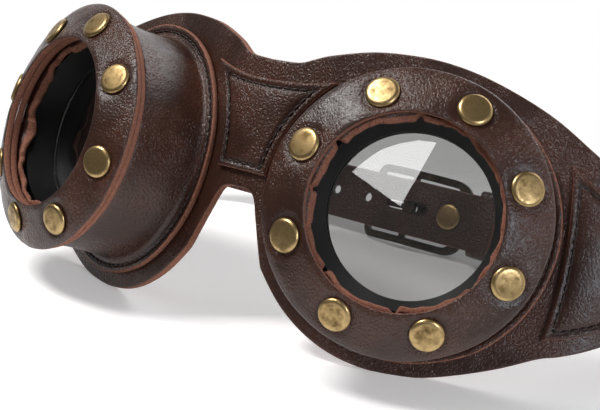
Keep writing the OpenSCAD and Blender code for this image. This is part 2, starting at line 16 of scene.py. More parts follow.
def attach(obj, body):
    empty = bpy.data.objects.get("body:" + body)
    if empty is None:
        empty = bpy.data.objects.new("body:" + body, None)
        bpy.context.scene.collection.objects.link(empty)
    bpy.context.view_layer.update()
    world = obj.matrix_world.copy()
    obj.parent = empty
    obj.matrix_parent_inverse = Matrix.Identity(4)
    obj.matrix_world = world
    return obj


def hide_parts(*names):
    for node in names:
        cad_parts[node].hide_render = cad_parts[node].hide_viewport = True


bl_info = {
    "name": "Steampunk Goggles",
    "version": (1, 0, 0),
    "blender": (4, 5, 0),
    "location": "View3D > Sidebar > Goggles",
    "description": "Builds riveted leather goggles over their packed frame",
    "category": "Object",
}

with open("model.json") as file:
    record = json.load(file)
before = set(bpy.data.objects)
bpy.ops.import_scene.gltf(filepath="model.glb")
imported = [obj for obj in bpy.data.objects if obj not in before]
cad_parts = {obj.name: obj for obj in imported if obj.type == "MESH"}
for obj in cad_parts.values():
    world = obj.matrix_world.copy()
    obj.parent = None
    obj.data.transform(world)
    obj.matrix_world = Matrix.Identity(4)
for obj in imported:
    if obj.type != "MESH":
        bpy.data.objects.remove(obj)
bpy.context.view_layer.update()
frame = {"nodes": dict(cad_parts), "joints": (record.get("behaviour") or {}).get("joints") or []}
MM = 0.001
SIDES = (("left", -1), ("right", 1))


# Settings
def length(name, about, default_mm, low_mm, high_mm):
    """A length in metres, given in millimetres."""
    return bpy.props.FloatProperty(
        name=name, description=about, default=default_mm * MM, min=low_mm * MM, max=high_mm * MM,
        subtype="DISTANCE", unit="LENGTH", precision=4)


def linear(code):
    """Linear colour of an sRGB hex value."""
    parts = [int(code[i:i + 2], 16) / 255 for i in (0, 2, 4)]
    return [c / 12.92 if c <= 0.04045 else ((c + 0.055) / 1.055) ** 2.4 for c in parts] + [1.0]


def colour(name, about, code):
    """A colour, given as sRGB hex."""
    return bpy.props.FloatVectorProperty(
        name=name, description=about, default=linear(code), size=4, min=0, max=1, subtype="COLOR")


class GoggleForm(bpy.types.PropertyGroup):
    """Sizes of the leather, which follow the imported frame."""

    cup_spacing: length("Cup spacing", "Distance between the cups' centres", 96.4, 90, 110)
    cup_splay: bpy.props.FloatProperty(
        name="Cup splay", description="Angle by which each cup turns outwards",
        default=math.radians(20.9), min=0, max=0.6, subtype="ANGLE", unit="ROTATION")
    cup_depth: length("Cup depth", "Height of the eye opening above the mask", 32.8, 25, 40)
    opening: length("Eye opening", "Diameter of the opening in the ring", 50, 40, 60)
    ring: length("Ring", "Outer diameter of the riveted ring", 74.2, 65, 85)
    ring_fall: length("Ring fall", "Fall of the ring's face to its outer edge", 5.9, 2, 9)
    ring_leather: length("Ring leather", "Thickness of each ring layer", 2, 1, 3)
    wall_leather: length("Wall leather", "Thickness of the cup wall", 1.8, 1, 3)
    mask_leather: length("Mask leather", "Thickness of the mask", 2.2, 1.5, 3.5)
    patch_leather: length("Patch leather", "Thickness of the sewn patches", 1.6, 1, 2.5)
    strap_width: length("Strap width", "Width of the strap", 19, 12, 26)
    strap_leather: length("Strap leather", "Thickness of the strap", 1.8, 1, 3)
    cut_edge: length("Cut edge", "Radius worn on the leather's cut edges", 0.45, 0.1, 0.9)


class GoggleSeams(bpy.types.PropertyGroup):
    """Sizes of the stitching and the rivets."""

    pitch: length("Stitch pitch", "Distance from stitch to stitch", 2.5, 1.5, 5)
    stitch: length("Stitch length", "Length of thread that shows in a stitch", 1.9, 1, 4)
    thread: length("Thread", "Thickness of the thread", 0.62, 0.3, 1.2)
    inset: length("Seam inset", "Distance of a seam from its patch's edge", 1.9, 1, 4)
    rivet: length("Rivet", "Diameter of a rivet's domed cap", 9, 6, 12)
    dome: length("Rivet dome", "Height of a rivet's domed cap", 1.3, 0.8, 2.5)


class GoggleColours(bpy.types.PropertyGroup):
    """Colours of the materials."""

    leather: colour("Leather", "Finished face of the leather", "482a1f")
    leather_dark: colour("Leather, dark", "Shaded patches of the finish", "2e1810")
    raw: colour("Raw edge", "Cut edges and flesh side", "a86f58")
    raw_dark: colour("Raw edge, dark", "Dark fibres of the cut edges", "6a4335")
    thread: colour("Thread", "Waxed thread", "24140f")
    brass: colour("Brass", "Rubbed brass", "bfa373")
    patina: colour("Patina", "Aged brass", "6f5a38")
    blackened: colour("Blackened brass", "Worn places on the buckle", "6b5c46")
    blackened_dark: colour("Blackened brass, dark", "Dark places on the buckle", "241f1a")
    plastic: colour("Plastic", "Black plastic of the sleeve", "060607")
    smoke: colour("Lens tint", "Tint of the smoked lens", "969695")
    floor: colour("Floor", "Studio floor", "f8f8f8")


# Form of the goggles
class Form:
    """Sizes in millimetres, with those that follow from them."""

    def __init__(self, context):
        given = context.scene.goggle_form
        self.cup_x = given.cup_spacing / MM / 2
        self.splay = given.cup_splay
        self.cup_depth = given.cup_depth / MM
        self.opening_r = given.opening / MM / 2
        self.ring_r = given.ring / MM / 2
        self.ring_t = given.ring_leather / MM
        self.wall_t = given.wall_leather / MM
        self.mask_t = given.mask_leather / MM
        self.patch_t = given.patch_leather / MM
        self.strap_w = given.strap_width / MM
        self.strap_t = given.strap_leather / MM
        self.edge = given.cut_edge / MM
        self.gap = 0.05
        self.slope = math.atan2(given.ring_fall / MM, self.ring_r - self.opening_r)
        self.under_at = self.ring_t + self.gap
        self.tabs_at = self.under_at + self.ring_t + self.gap
        self.rivet_circle_r = (self.opening_r + self.ring_r) / 2 - 0.35
        # Degrees from a ring's right to its first rivet
        self.rivet_turns = {-1: 30, 1: 26}
        self.rivets = 8
        self.post_hole_r, self.back_cap_r, self.back_cap_h = 1.55, 3.6, 0.9
        overhang, flange_w = 2.5, 4.5
        self.wall_top_r, self.wall_base_r, self.wall_waist = self.ring_r - overhang, 34, 0.8
        self.flange_r = self.wall_base_r + flange_w
        self.flange_seam_r = 36.4
        # Bends at the wall's foot and under the ring, and where the wall's tabs start
        self.fillet, self.crown = 1.6, 1.4
        self.foot_h = self.gap + self.wall_t
        self.tab_root_r = 27.8
        self.strap_z = 7.5
        self.loop_depth = 103
        self.bar_x = -9
        self.fold_rivet_x = self.bar_x + 17
        # Inner radius of the strap's fold round the centre bar
        self.bar_fold = 1.31
        # The free strap lies outside the fold and its rivet's back cap
        self.free_inner = (
            -self.bar_fold + self.strap_t + self.gap + self.back_cap_h + 2 * self.gap)
        self.prong_exit = self.find_prong_exit()
        # Mask plan: a bridge curve, two flat lobes and bends to the temples
        half_bridge, self.bridge_top = 12, 32.6
        self.bridge_r = half_bridge / math.sin(self.splay)
        self.bridge_len = self.bridge_r * self.splay
        self.bridge_y = self.bridge_r * math.cos(self.splay) - (
            self.cup_x - half_bridge) * math.tan(self.splay)
        lobe_end, tab_l = self.flange_r + 2, 17.5
        self.wing_r = 32
        self.cup_s = self.bridge_len + (self.cup_x - half_bridge) / math.cos(self.splay)
        self.wing_s = self.cup_s + lobe_end
        self.tab_s = self.wing_s + self.wing_r * (math.pi / 2 - self.splay)
        self.end_s = self.tab_s + tab_l
        self.wing_c = (
            self.cup_x + lobe_end * math.cos(self.splay) - self.wing_r * math.sin(self.splay),
            lobe_end * math.sin(self.splay) + self.wing_r * math.cos(self.splay))
        self.side_x = self.wing_c[0] + self.wing_r
        self.tab_end_y = self.wing_c[1] + tab_l
        # How the goggles lean, from the axis that the buckle turns on
        hinge = next(j for j in frame["joints"] if j["name"] == "buckle_tilt")
        lean = math.atan2(hinge["axis"][1], hinge["axis"][2])
        away = Vector((0, self.loop_depth, self.strap_z))
        turn = Matrix.Rotation(-lean, 4, "X")
        shift = Vector(hinge["pos_m"]) / MM - turn @ away
        self.rest = Matrix.Translation((0, shift.y, shift.z)) @ turn
        self.to_scene = Matrix.Scale(MM, 4) @ self.rest

    def find_prong_exit(self):
        """Distance from the centre bar at which the prong leaves the free strap's outer face, on
        its way to the buckle's bowed end bar."""
        clearance, end_bar, frame_t, half_buckle, prong_r = 0.6, 16.3, 1.9, 18.8, 0.95
        outer = self.free_inner + self.strap_t
        clear = outer + clearance
        bow_r = (end_bar ** 2 + clear ** 2 - frame_t ** 2 / 4) / (frame_t + 2 * clear)
        edge = (half_buckle, bow_r - math.sqrt((bow_r - frame_t / 2) ** 2 - half_buckle ** 2))
        rise = math.atan2(edge[1], edge[0]) + math.asin((prong_r + self.gap) / math.hypot(*edge))
        return (outer + prong_r / math.cos(rise)) / math.tan(rise)

    def cup(self, side):
        """From a cup's frame to the worn frame."""
        return (Matrix.Translation((side * self.cup_x, 0, 0))
                @ Matrix.Rotation(side * self.splay, 4, "Z") @ Matrix.Rotation(math.pi / 2, 4, "X"))

    def under_face(self, r, depth):
        """Height at radius r of what lies a depth under the ring's face."""
        fall = (r - self.opening_r) * math.tan(self.slope)
        return self.cup_depth - fall - depth / math.cos(self.slope)

    def heading(self, s):
        """Direction of the mask at a distance s along it from the middle."""
        if s < self.bridge_len:
            return s / self.bridge_r
        if s < self.wing_s:
            return self.splay
        return min(math.pi / 2, self.splay + (s - self.wing_s) / self.wing_r)

    def on_mask(self, s, z, depth):
        """Point at s along the mask and a depth behind its front face."""
        far, a = abs(s), self.heading(abs(s))
        if far < self.bridge_len:
            x, y = self.bridge_r * math.sin(a), self.bridge_y - self.bridge_r * math.cos(a)
        elif far < self.wing_s:
            x = self.cup_x + (far - self.cup_s) * math.cos(a)
            y = (far - self.cup_s) * math.sin(a)
        elif far < self.tab_s:
            x = self.wing_c[0] + self.wing_r * math.sin(a)
            y = self.wing_c[1] - self.wing_r * math.cos(a)
        else:
            x, y = self.side_x, self.wing_c[1] + far - self.tab_s
        side = -1 if s < 0 else 1
        return Vector((side * (x - depth * math.sin(a)), y + depth * math.cos(a), z))

    def rivet_places(self, side):
        """Middle and direction of each ring rivet, in the worn frame."""
        cup, r = self.cup(side), self.rivet_circle_r
        places = []
        for i in range(self.rivets):
            a = math.radians(self.rivet_turns[side] + 360 / self.rivets * i)
            middle = Vector(spun(r, a, self.under_face(r, 0)))
            way = Vector(spun(math.sin(self.slope), a, math.cos(self.slope)))
            places.append((cup @ middle, cup.to_3x3() @ way))
        return places

    def temple_places(self, side):
        """Middle and direction of each rivet through a wing and its strap."""
        cap_r, margin, pitch = 4.5, 0.75, 10
        first = self.tab_end_y - cap_r - margin
        return [(Vector((side * self.side_x, y, self.strap_z)), Vector((side, 0, 0)))
                for y in (first, first - pitch)]


# Each lobe's edge is given round the cup as an angle and a margin beyond the flange.
LOBE_TOP = ((133, 12.4), (121, 9.1), (110, 6.7), (97, 5), (82, 4.1), (65, 4.8), (50, 7.5))
LOBE_BOTTOM = ((-146, 6.1), (-133, 5.5), (-120, 5), (-108, 4.5), (-96, 3.9), (-84, 3.5),
               (-72, 3.6), (-58, 4.3), (-45, 6.6))
WING_STEPS = (0, 0.12, 0.25, 0.4, 0.55, 0.7, 0.85, 1)


def smooth_line(points, steps=4):
    """Smooth curve through the points, as a list of points."""
    line = []
    for i in range(len(points) - 1):
        a, b = points[max(i - 1, 0)], points[i]
        c, d = points[i + 1], points[min(i + 2, len(points) - 1)]
        for j in range(steps):
            t = j / steps
            line.append(tuple(
                0.5 * (2 * b[k] + (c[k] - a[k]) * t
                       + (2 * a[k] - 5 * b[k] + 4 * c[k] - d[k]) * t * t
                       + (3 * b[k] - a[k] - 3 * c[k] + d[k]) * t ** 3) for k in (0, 1)))
    return line + [points[-1]]


def height_on(line, s):
    """Height of an outline at s."""
    for (s0, z0), (s1, z1) in zip(line, line[1:]):
        if s <= s1:
            return z0 + (z1 - z0) * max(0.0, (s - s0) / (s1 - s0))
    return line[-1][1]


def mask_outline(form):
    """Top and bottom edges of the right half of the mask, as heights over s."""
    def lobe(angle, margin):
        a, r = math.radians(angle), form.flange_r + margin
        return form.cup_s + r * math.cos(a), r * math.sin(a)

    half, margin, bridge = form.strap_w / 2, 2.5, form.bridge_len
    wing_top, wing_low = 29.6, -26.9
    tab_top, tab_low = form.strap_z + half + margin, form.strap_z - half - margin
    top = [(0, form.bridge_top), (bridge * 0.65, 33.2), (bridge, 35.2)]
    top += [lobe(*p) for p in LOBE_TOP]
    low = [(0, -4), (bridge * 0.25, -4.2), (bridge * 0.47, -5.8), (bridge * 0.68, -12),
           (bridge, -21.8)]
    low += [lobe(*p) for p in LOBE_BOTTOM]
    for k in WING_STEPS:
        s = form.wing_s + (form.tab_s - form.wing_s) * k
        top.append((s, tab_top + (wing_top - tab_top) * (1 - k) ** 1.9))
        low.append((s, tab_low + (wing_low - tab_low) * (1 - k) ** 1.2 * (1 + 0.6 * k)))
    return smooth_line(top + [(form.end_s, tab_top)]), smooth_line(low + [(form.end_s, tab_low)])


# Mesh making
def spun(r, a, z):
    """Point at a radius r and an angle a round an axis, at a height z along it."""
    return r * math.cos(a), r * math.sin(a), z


def arc(cx, cy, r, a0, a1, n):
    """Points on an arc, angles in degrees."""
    turns = [math.radians(a0 + (a1 - a0) * i / n) for i in range(n + 1)]
    return [(cx + r * math.cos(a), cy + r * math.sin(a)) for a in turns]


def linked(name, data):
    """A new object of that data, in the scene."""
    thing = bpy.data.objects.new(name, data)
    bpy.context.scene.collection.objects.link(thing)
    return thing


def mark(mesh, name, values):
    """Stores one number for each point of a mesh."""
    mesh.attributes.new(name, "FLOAT", "POINT").data.foreach_set("value", values)


def smoothed(mesh):
    """The mesh, with its faces turned outwards and shaded smooth."""
    work = bmesh.new()
    work.from_mesh(mesh)
    bmesh.ops.recalc_face_normals(work, faces=work.faces)
    for face in work.faces:
        face.smooth = True
    work.to_mesh(mesh)
    work.free()
    return mesh


def piece_of(name, mesh, replaces, body, slot):
    """A new piece, which keeps what settle will tell the frame about it."""
    piece = linked(name, mesh)
    piece["stands_for"], piece["body"], piece["finish_slot"] = list(replaces), body, slot
    return piece


def put(form, name, verts, faces, marks, replaces, place=None, body="goggles", slot="leather"):
    """A piece from points in the worn frame, or in the frame that place leads from."""
    at = form.to_scene @ (place or Matrix())
    mesh = bpy.data.meshes.new(name)
    mesh.from_pydata([at @ Vector(v) for v in verts], [], faces)
    for key, values in marks.items():
        mark(mesh, key, values)
    return piece_of(name, smoothed(mesh), replaces, body, slot)


def bake(piece):
    """Makes a piece's modifiers part of its mesh."""
    graph = bpy.context.evaluated_depsgraph_get()
    piece.data = bpy.data.meshes.new_from_object(piece.evaluated_get(graph))
    piece.modifiers.clear()


def dress(mesh, material):
    """Gives a mesh its one material."""
    mesh.materials.clear()
    mesh.materials.append(material)


def settle(piece, material=None):
    """Ends a piece's making: a plain mesh in its material, on its body in the frame."""
    if piece.modifiers:
        bake(piece)
    if material:
        dress(piece.data, material)
    names, body, slot = list(piece["stands_for"]), piece["body"], piece["finish_slot"]
    for key in ("stands_for", "body", "finish_slot"):
        del piece[key]
    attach(piece, body)
    if names:
        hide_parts(*names)


def net(rows, round_columns=True):
    """Four-sided faces over rows of points. The rows close into a round, and so do the columns
    where asked."""
    n, m = len(rows), len(rows[0])
    verts = [p for row in rows for p in row]
    faces = []
    for i in range(n):
        for j in range(m if round_columns else m - 1):
            k, l = (i + 1) % n, (j + 1) % m
            faces.append((i * m + j, i * m + l, k * m + l, k * m + j))
    return verts, faces


def graded(total, fine, step):
    """Places from 0 to total, close together at both ends."""
    middle = max(1, round((total - 2 * fine[-1]) / step))
    inner = [fine[-1] + (total - 2 * fine[-1]) * i / middle for i in range(middle + 1)]
    return list(fine[:-1]) + inner + [total - f for f in reversed(fine[:-1])]


def border_of(grid):
    """What stands along the border of a grid, once round."""
    n, m = len(grid), len(grid[0])
    return ([grid[i][0] for i in range(n)] + [grid[n - 1][j] for j in range(1, m)]
            + [grid[i][m - 1] for i in range(n - 2, -1, -1)]
            + [grid[0][j] for j in range(m - 2, 0, -1)])


def distance_to(points):
    """Function that gives the distance from (s, z) to the nearest of the points."""
    tree = kdtree.KDTree(len(points))
    for i, (s, z) in enumerate(points):
        tree.insert((s, z, 0), i)
    tree.balance()
    return lambda s, z: tree.find((s, z, 0))[2]


# Places across a worn cut edge, in millimetres from it
EDGE_STEPS = (0, 0.07, 0.2, 0.45, 0.8, 1.3)


def worn(edge, d):
    """Fall of a worn cut edge at a distance d from it."""
    near = edge - min(d, edge)
    return edge - math.sqrt(max(0.0, edge * edge - near * near))


def slab(grid, place, depth, thickness, edge, relief, flesh=1.0):
    """Closed sheet of leather over a grid of (s, z), with worn cut edges.

    place gives a point from s, z and a depth. relief gives how far the face stands proud, from
    s, z and the distance to the edge. Marks: raw is 1 where the leather is cut and flesh on its
    back, and crease is 1 in a seam's groove, where the leather's colour is darkened as painted
    shade.
    """
    border, spacing, dense = border_of(grid), 0.12, []
    for a, b in zip(border, border[1:] + border[:1]):
        steps = max(1, int(math.dist(a, b) / spacing))
        dense += [(a[0] + (b[0] - a[0]) * k / steps, a[1] + (b[1] - a[1]) * k / steps)
                  for k in range(steps)]
    to_edge = distance_to(dense)
    front, back, raw, crease_shade = [], [], [], []
    for column in grid:
        for s, z in column:
            d = to_edge(s, z)
            fall = worn(edge, d)
            proud, groove = relief(s, z, d)
            front.append(place(s, z, depth + fall - proud))
            back.append(place(s, z, depth + thickness - fall * 0.6))
            raw.append(max(0.0, 1 - d / (edge * 0.55)))
            crease_shade.append(groove)
    n, m = len(grid), len(grid[0])
    verts, faces = front + back, []
    for i in range(n - 1):
        for j in range(m - 1):
            a, b, c, d = i * m + j, i * m + j + 1, (i + 1) * m + j + 1, (i + 1) * m + j
            faces += [(a, b, c, d), tuple(n * m + k for k in (d, c, b, a))]
    ring = border_of([[i * m + j for j in range(m)] for i in range(n)])
    for a, b in zip(ring, ring[1:] + ring[:1]):
        faces.append((a, b, b + n * m, a + n * m))
    marks = {"raw": raw + [max(r, flesh) for r in raw], "crease_shade": crease_shade + [0.0] * (n * m)}
    return verts, faces, marks


def lumps(p, size, seed=0.0):
    """Smooth unevenness from -1 to 1, with lumps of about the given size in millimetres."""
    return noise.noise(Vector(p) / size + Vector((seed, seed * 0.7, -seed)))


def cut_away(piece, work):
    """Cuts the closed shape in work out of a piece, and leaves raw faces."""
    mesh = bpy.data.meshes.new("cutter")
    work.to_mesh(mesh)
    work.free()
    mark(mesh, "raw", [1.0] * len(mesh.vertices))
    cutter = linked("cutter", mesh)
    cut = piece.modifiers.new("cut", "BOOLEAN")
    cut.operation, cut.solver, cut.object = "DIFFERENCE", "EXACT", cutter
    bake(piece)
    bpy.data.objects.remove(cutter)


def drill(piece, form, holes):
    """Cuts cylinders out of a piece. Each is (matrix to the worn frame, radius, length)."""
    for at, radius, depth in holes:
        work = bmesh.new()
        bmesh.ops.create_cone(work, cap_ends=True, segments=64 if radius > 5 else 28,
                              radius1=radius, radius2=radius, depth=depth)
        bmesh.ops.transform(work, matrix=form.to_scene @ at, verts=work.verts)
        cut_away(piece, work)


def sharpen(piece, degrees):
    """Shades flat across edges that turn by more than the given angle."""
    work = bmesh.new()
    work.from_mesh(piece.data)
    for edge in work.edges:
        if len(edge.link_faces) == 2:
            edge.smooth = edge.calc_face_angle(0) < math.radians(degrees)
    work.to_mesh(piece.data)
    work.free()


# Nodes
def add(tree, kind, inputs=None, **settings):
    """Adds a node with its settings, and sets or links its inputs.

    A node given as an input stands for its first output in use.
    """
    node = tree.nodes.new(kind)
    for key, value in settings.items():
        setattr(node, key, value)
    for key, value in (inputs or {}).items():
        if isinstance(value, bpy.types.Node):
            value = next(socket for socket in value.outputs if socket.enabled)
        if isinstance(value, bpy.types.NodeSocket):
            tree.links.new(value, node.inputs[key])
        else:
            node.inputs[key].default_value = value
    return node


def finish_of(name, build):
    """The material of that name, made by build on first use."""
    known = bpy.data.materials.get(name)
    if known:
        return known
    material = bpy.data.materials.new(name)
    material.use_nodes = True
    material.node_tree.nodes.clear()
    shader = build(material.node_tree)
    add(material.node_tree, "ShaderNodeOutputMaterial", {"Surface": shader})
    return material


def per_metre(size_mm):
    """Texture scale that gives features of that size."""
    return 1 / (size_mm * MM)


def cowhide():
    """Pigmented cowhide with a printed pebble grain: soft cool gloss on the grain's tops, dull
    red-brown fibres wherever the leather is cut."""
    hue = bpy.context.scene.goggle_colours

    def build(tree):
        spot = add(tree, "ShaderNodeTexCoord").outputs["Object"]
        # Folds of about 9 mm bend the grain, so that it doesn't look printed
        drift = add(tree, "ShaderNodeTexNoise",
                    {"Vector": spot, "Scale": per_metre(9), "Detail": 2.0})
        bent = add(tree, "ShaderNodeVectorMath", {0: drift.outputs["Color"], 1: (0.5, 0.5, 0.5)},
                   operation="SUBTRACT")
        bent = add(tree, "ShaderNodeVectorMath", {0: bent, "Scale": 0.0022}, operation="SCALE")
        bent = add(tree, "ShaderNodeVectorMath", {0: spot, 1: bent}, operation="ADD")
        stretched = add(tree, "ShaderNodeMapping",
                        {"Vector": bent, "Rotation": (0.3, 0.5, 0.7), "Scale": (1, 0.62, 0.8)})
        # Pebbles are 0.95 mm across, and pores 0.5 mm
        pebble = add(tree, "ShaderNodeTexVoronoi",
                     {"Vector": stretched, "Scale": per_metre(0.95), "Randomness": 0.95},
                     feature="DISTANCE_TO_EDGE")
        rounded = add(tree, "ShaderNodeMapRange", {"Value": pebble, "From Max": 0.3},
                      interpolation_type="SMOOTHSTEP")
        pores = add(tree, "ShaderNodeTexNoise",
                    {"Vector": stretched, "Scale": per_metre(0.5), "Detail": 4.0,
                     "Roughness": 0.62})
        areas = add(tree, "ShaderNodeTexNoise",
                    {"Vector": spot, "Scale": per_metre(17), "Detail": 2.0})
        calm = add(tree, "ShaderNodeMapRange",
                   {"Value": areas, "From Min": 0.36, "From Max": 0.62, "To Min": 0.4,
                    "To Max": 1.0})
        grain = add(tree, "ShaderNodeMath", {0: rounded, 1: pores, 2: pores},
                    operation="MULTIPLY_ADD")
        grain = add(tree, "ShaderNodeMath", {0: grain, 1: calm}, operation="MULTIPLY")
        raw = add(tree, "ShaderNodeAttribute", attribute_name="raw").outputs["Fac"]
        crease_shade = add(tree, "ShaderNodeAttribute", attribute_name="crease_shade").outputs["Fac"]
        ragged = add(tree, "ShaderNodeTexNoise",
                     {"Vector": spot, "Scale": per_metre(0.8), "Detail": 3.0})
        raw = add(tree, "ShaderNodeMath", {0: raw, 1: ragged}, operation="ADD")
        raw = add(tree, "ShaderNodeMapRange", {"Value": raw, "From Min": 0.92, "From Max": 1.12})
        # Colour: dark patches of 17 mm, and paler tops on the pebbles
        face = add(tree, "ShaderNodeMix", {"Factor": calm, "A": hue.leather_dark, "B": hue.leather},
                   data_type="RGBA")
        tops = add(tree, "ShaderNodeMapRange",
                   {"Value": grain, "From Min": 0.1, "From Max": 1.0, "To Min": 0.6,
                    "To Max": 1.15})
        face = add(tree, "ShaderNodeVectorMath", {0: face, 1: tops}, operation="MULTIPLY")
        # Painted shade: seam grooves and creased lines are darkened, down to 0.45 of the colour
        shade = add(tree, "ShaderNodeMapRange", {"Value": crease_shade, "To Min": 1.0, "To Max": 0.45})
        face = add(tree, "ShaderNodeVectorMath", {0: face, 1: shade}, operation="MULTIPLY")
        fibres = add(tree, "ShaderNodeTexNoise",
                     {"Vector": spot, "Scale": per_metre(0.45), "Detail": 3.0, "Roughness": 0.7})
        fibre_mix = add(tree, "ShaderNodeMapRange",
                        {"Value": fibres, "From Min": 0.35, "From Max": 0.65})
        cut = add(tree, "ShaderNodeMix", {"Factor": fibre_mix, "A": hue.raw_dark, "B": hue.raw},
                  data_type="RGBA")
        whole = add(tree, "ShaderNodeMix", {"Factor": raw, "A": face, "B": cut}, data_type="RGBA")
        gloss = add(tree, "ShaderNodeMapRange",
                    {"Value": grain, "From Min": 0.1, "From Max": 1.1, "To Min": 0.36,
                     "To Max": 0.19})
        rough = add(tree, "ShaderNodeMix",
                    {"Factor": raw, "A": gloss, "B": 0.88}, data_type="FLOAT")
        height = add(tree, "ShaderNodeMix", {"Factor": raw, "A": grain, "B": fibres},
                     data_type="FLOAT")
        bump = add(tree, "ShaderNodeBump",
                   {"Height": height, "Strength": 0.9, "Distance": 0.19 * MM})
        return add(tree, "ShaderNodeBsdfPrincipled",
                   {"Base Color": whole, "Roughness": rough, "Normal": bump, "IOR": 1.5,
                    "Specular IOR Level": 0.5})

    return finish_of("pigmented_cowhide", build)


def leather_split():
    """Undyed-edge leather split under the ring: matt, fibrous and red-brown all over."""
    hue = bpy.context.scene.goggle_colours

    def build(tree):
        spot = add(tree, "ShaderNodeTexCoord").outputs["Object"]
        fibres = add(tree, "ShaderNodeTexNoise",
                     {"Vector": spot, "Scale": per_metre(0.45), "Detail": 4.0, "Roughness": 0.7})
        spread = add(tree, "ShaderNodeMapRange",
                     {"Value": fibres, "From Min": 0.33, "From Max": 0.66})
        tone = add(tree, "ShaderNodeMix",
                   {"Factor": spread, "A": hue.raw_dark, "B": hue.raw}, data_type="RGBA")
        bump = add(tree, "ShaderNodeBump",
                   {"Height": fibres, "Strength": 0.6, "Distance": 0.2 * MM})
        return add(tree, "ShaderNodeBsdfPrincipled",
                   {"Base Color": tone, "Roughness": 0.9, "Normal": bump, "IOR": 1.5})

    return finish_of("leather_split", build)


def waxed_thread():
    """Waxed, twisted sewing thread: nearly black, with a low shine on each ply."""
    hue = bpy.context.scene.goggle_colours

    def build(tree):
        spot = add(tree, "ShaderNodeTexCoord").outputs["Object"]
        plies = add(tree, "ShaderNodeTexNoise",
                    {"Vector": spot, "Scale": per_metre(0.35), "Detail": 2.0})
        bump = add(tree, "ShaderNodeBump", {"Height": plies, "Strength": 0.5, "Distance": 0.1 * MM})
        return add(tree, "ShaderNodeBsdfPrincipled",
                   {"Base Color": hue.thread, "Roughness": 0.5, "Normal": bump, "IOR": 1.5})

    return finish_of("waxed_thread", build)


def antique_brass():
    """Pressed brass, chemically darkened and rubbed back: yellow on the dome, brown at the rim
    and in blotches of one to three millimetres."""
    hue = bpy.context.scene.goggle_colours
    return patinated("antique_brass", hue.brass, hue.patina, 0.44, 0.78)


def blackened_brass():
    """Cast brass, oxidised black and worn bare only along its high places."""
    hue = bpy.context.scene.goggle_colours
    return patinated("blackened_brass", hue.blackened, hue.blackened_dark, 0.3, 0.6)


def patinated(name, bright, dull, least, most):
    """Metal that passes from bright to dull as its blotches rise from least to most."""
    def build(tree):
        spot = add(tree, "ShaderNodeTexCoord").outputs["Object"]
        blotch = add(tree, "ShaderNodeTexNoise",
                     {"Vector": spot, "Scale": per_metre(2.2), "Detail": 5.0, "Roughness": 0.65})
        rim = add(tree, "ShaderNodeAttribute", attribute_name="rim").outputs["Fac"]
        aged = add(tree, "ShaderNodeMath", {0: blotch, 1: rim}, operation="ADD")
        aged = add(tree, "ShaderNodeMapRange", {"Value": aged, "From Min": least, "From Max": most})
        tone = add(tree, "ShaderNodeMix",
                   {"Factor": aged, "A": bright, "B": dull}, data_type="RGBA")
        rough = add(tree, "ShaderNodeMapRange", {"Value": aged, "To Min": 0.34, "To Max": 0.55})
        scuffs = add(tree, "ShaderNodeTexNoise",
                     {"Vector": spot, "Scale": per_metre(0.7), "Detail": 3.0, "Roughness": 0.6})
        bump = add(tree, "ShaderNodeBump",
                   {"Height": scuffs, "Strength": 0.25, "Distance": 0.08 * MM})
        return add(tree, "ShaderNodeBsdfPrincipled",
                   {"Base Color": tone, "Metallic": 1.0, "Roughness": rough, "Normal": bump})

    return finish_of(name, build)


def satin_plastic():
    """Injection-moulded black ABS: even, satin, with a faint mould texture."""
    hue = bpy.context.scene.goggle_colours

    def build(tree):
        spot = add(tree, "ShaderNodeTexCoord").outputs["Object"]
        mould = add(tree, "ShaderNodeTexNoise",
                    {"Vector": spot, "Scale": per_metre(0.6), "Detail": 2.0})
        rough = add(tree, "ShaderNodeMapRange", {"Value": mould, "To Min": 0.42, "To Max": 0.58})
        bump = add(tree, "ShaderNodeBump",
                   {"Height": mould, "Strength": 0.15, "Distance": 0.05 * MM})
        return add(tree, "ShaderNodeBsdfPrincipled",
                   {"Base Color": hue.plastic, "Roughness": rough, "Normal": bump, "IOR": 1.53,
                    "Specular IOR Level": 0.3})

    return finish_of("satin_abs", build)


def smoked_glass():
    """Smoke-tinted lens, polished on both faces."""
    hue = bpy.context.scene.goggle_colours

    def build(tree):
        spot = add(tree, "ShaderNodeTexCoord").outputs["Object"]
        wipes = add(tree, "ShaderNodeTexNoise",
                    {"Vector": spot, "Scale": per_metre(12), "Detail": 2.0})
        rough = add(tree, "ShaderNodeMapRange", {"Value": wipes, "To Min": 0.0, "To Max": 0.02})
        return add(tree, "ShaderNodeBsdfPrincipled",
                   {"Base Color": hue.smoke, "Roughness": rough, "IOR": 1.49,
                    "Transmission Weight": 1.0})

    return finish_of("smoked_glass", build)


# Seams and rivets by nodes
def group_socket(tree, name, kind, default=None):
    """Adds a named input to a geometry tree."""
    socket = tree.interface.new_socket(name, in_out="INPUT", socket_type=kind)
    if default is not None:
        socket.default_value = default
    return socket


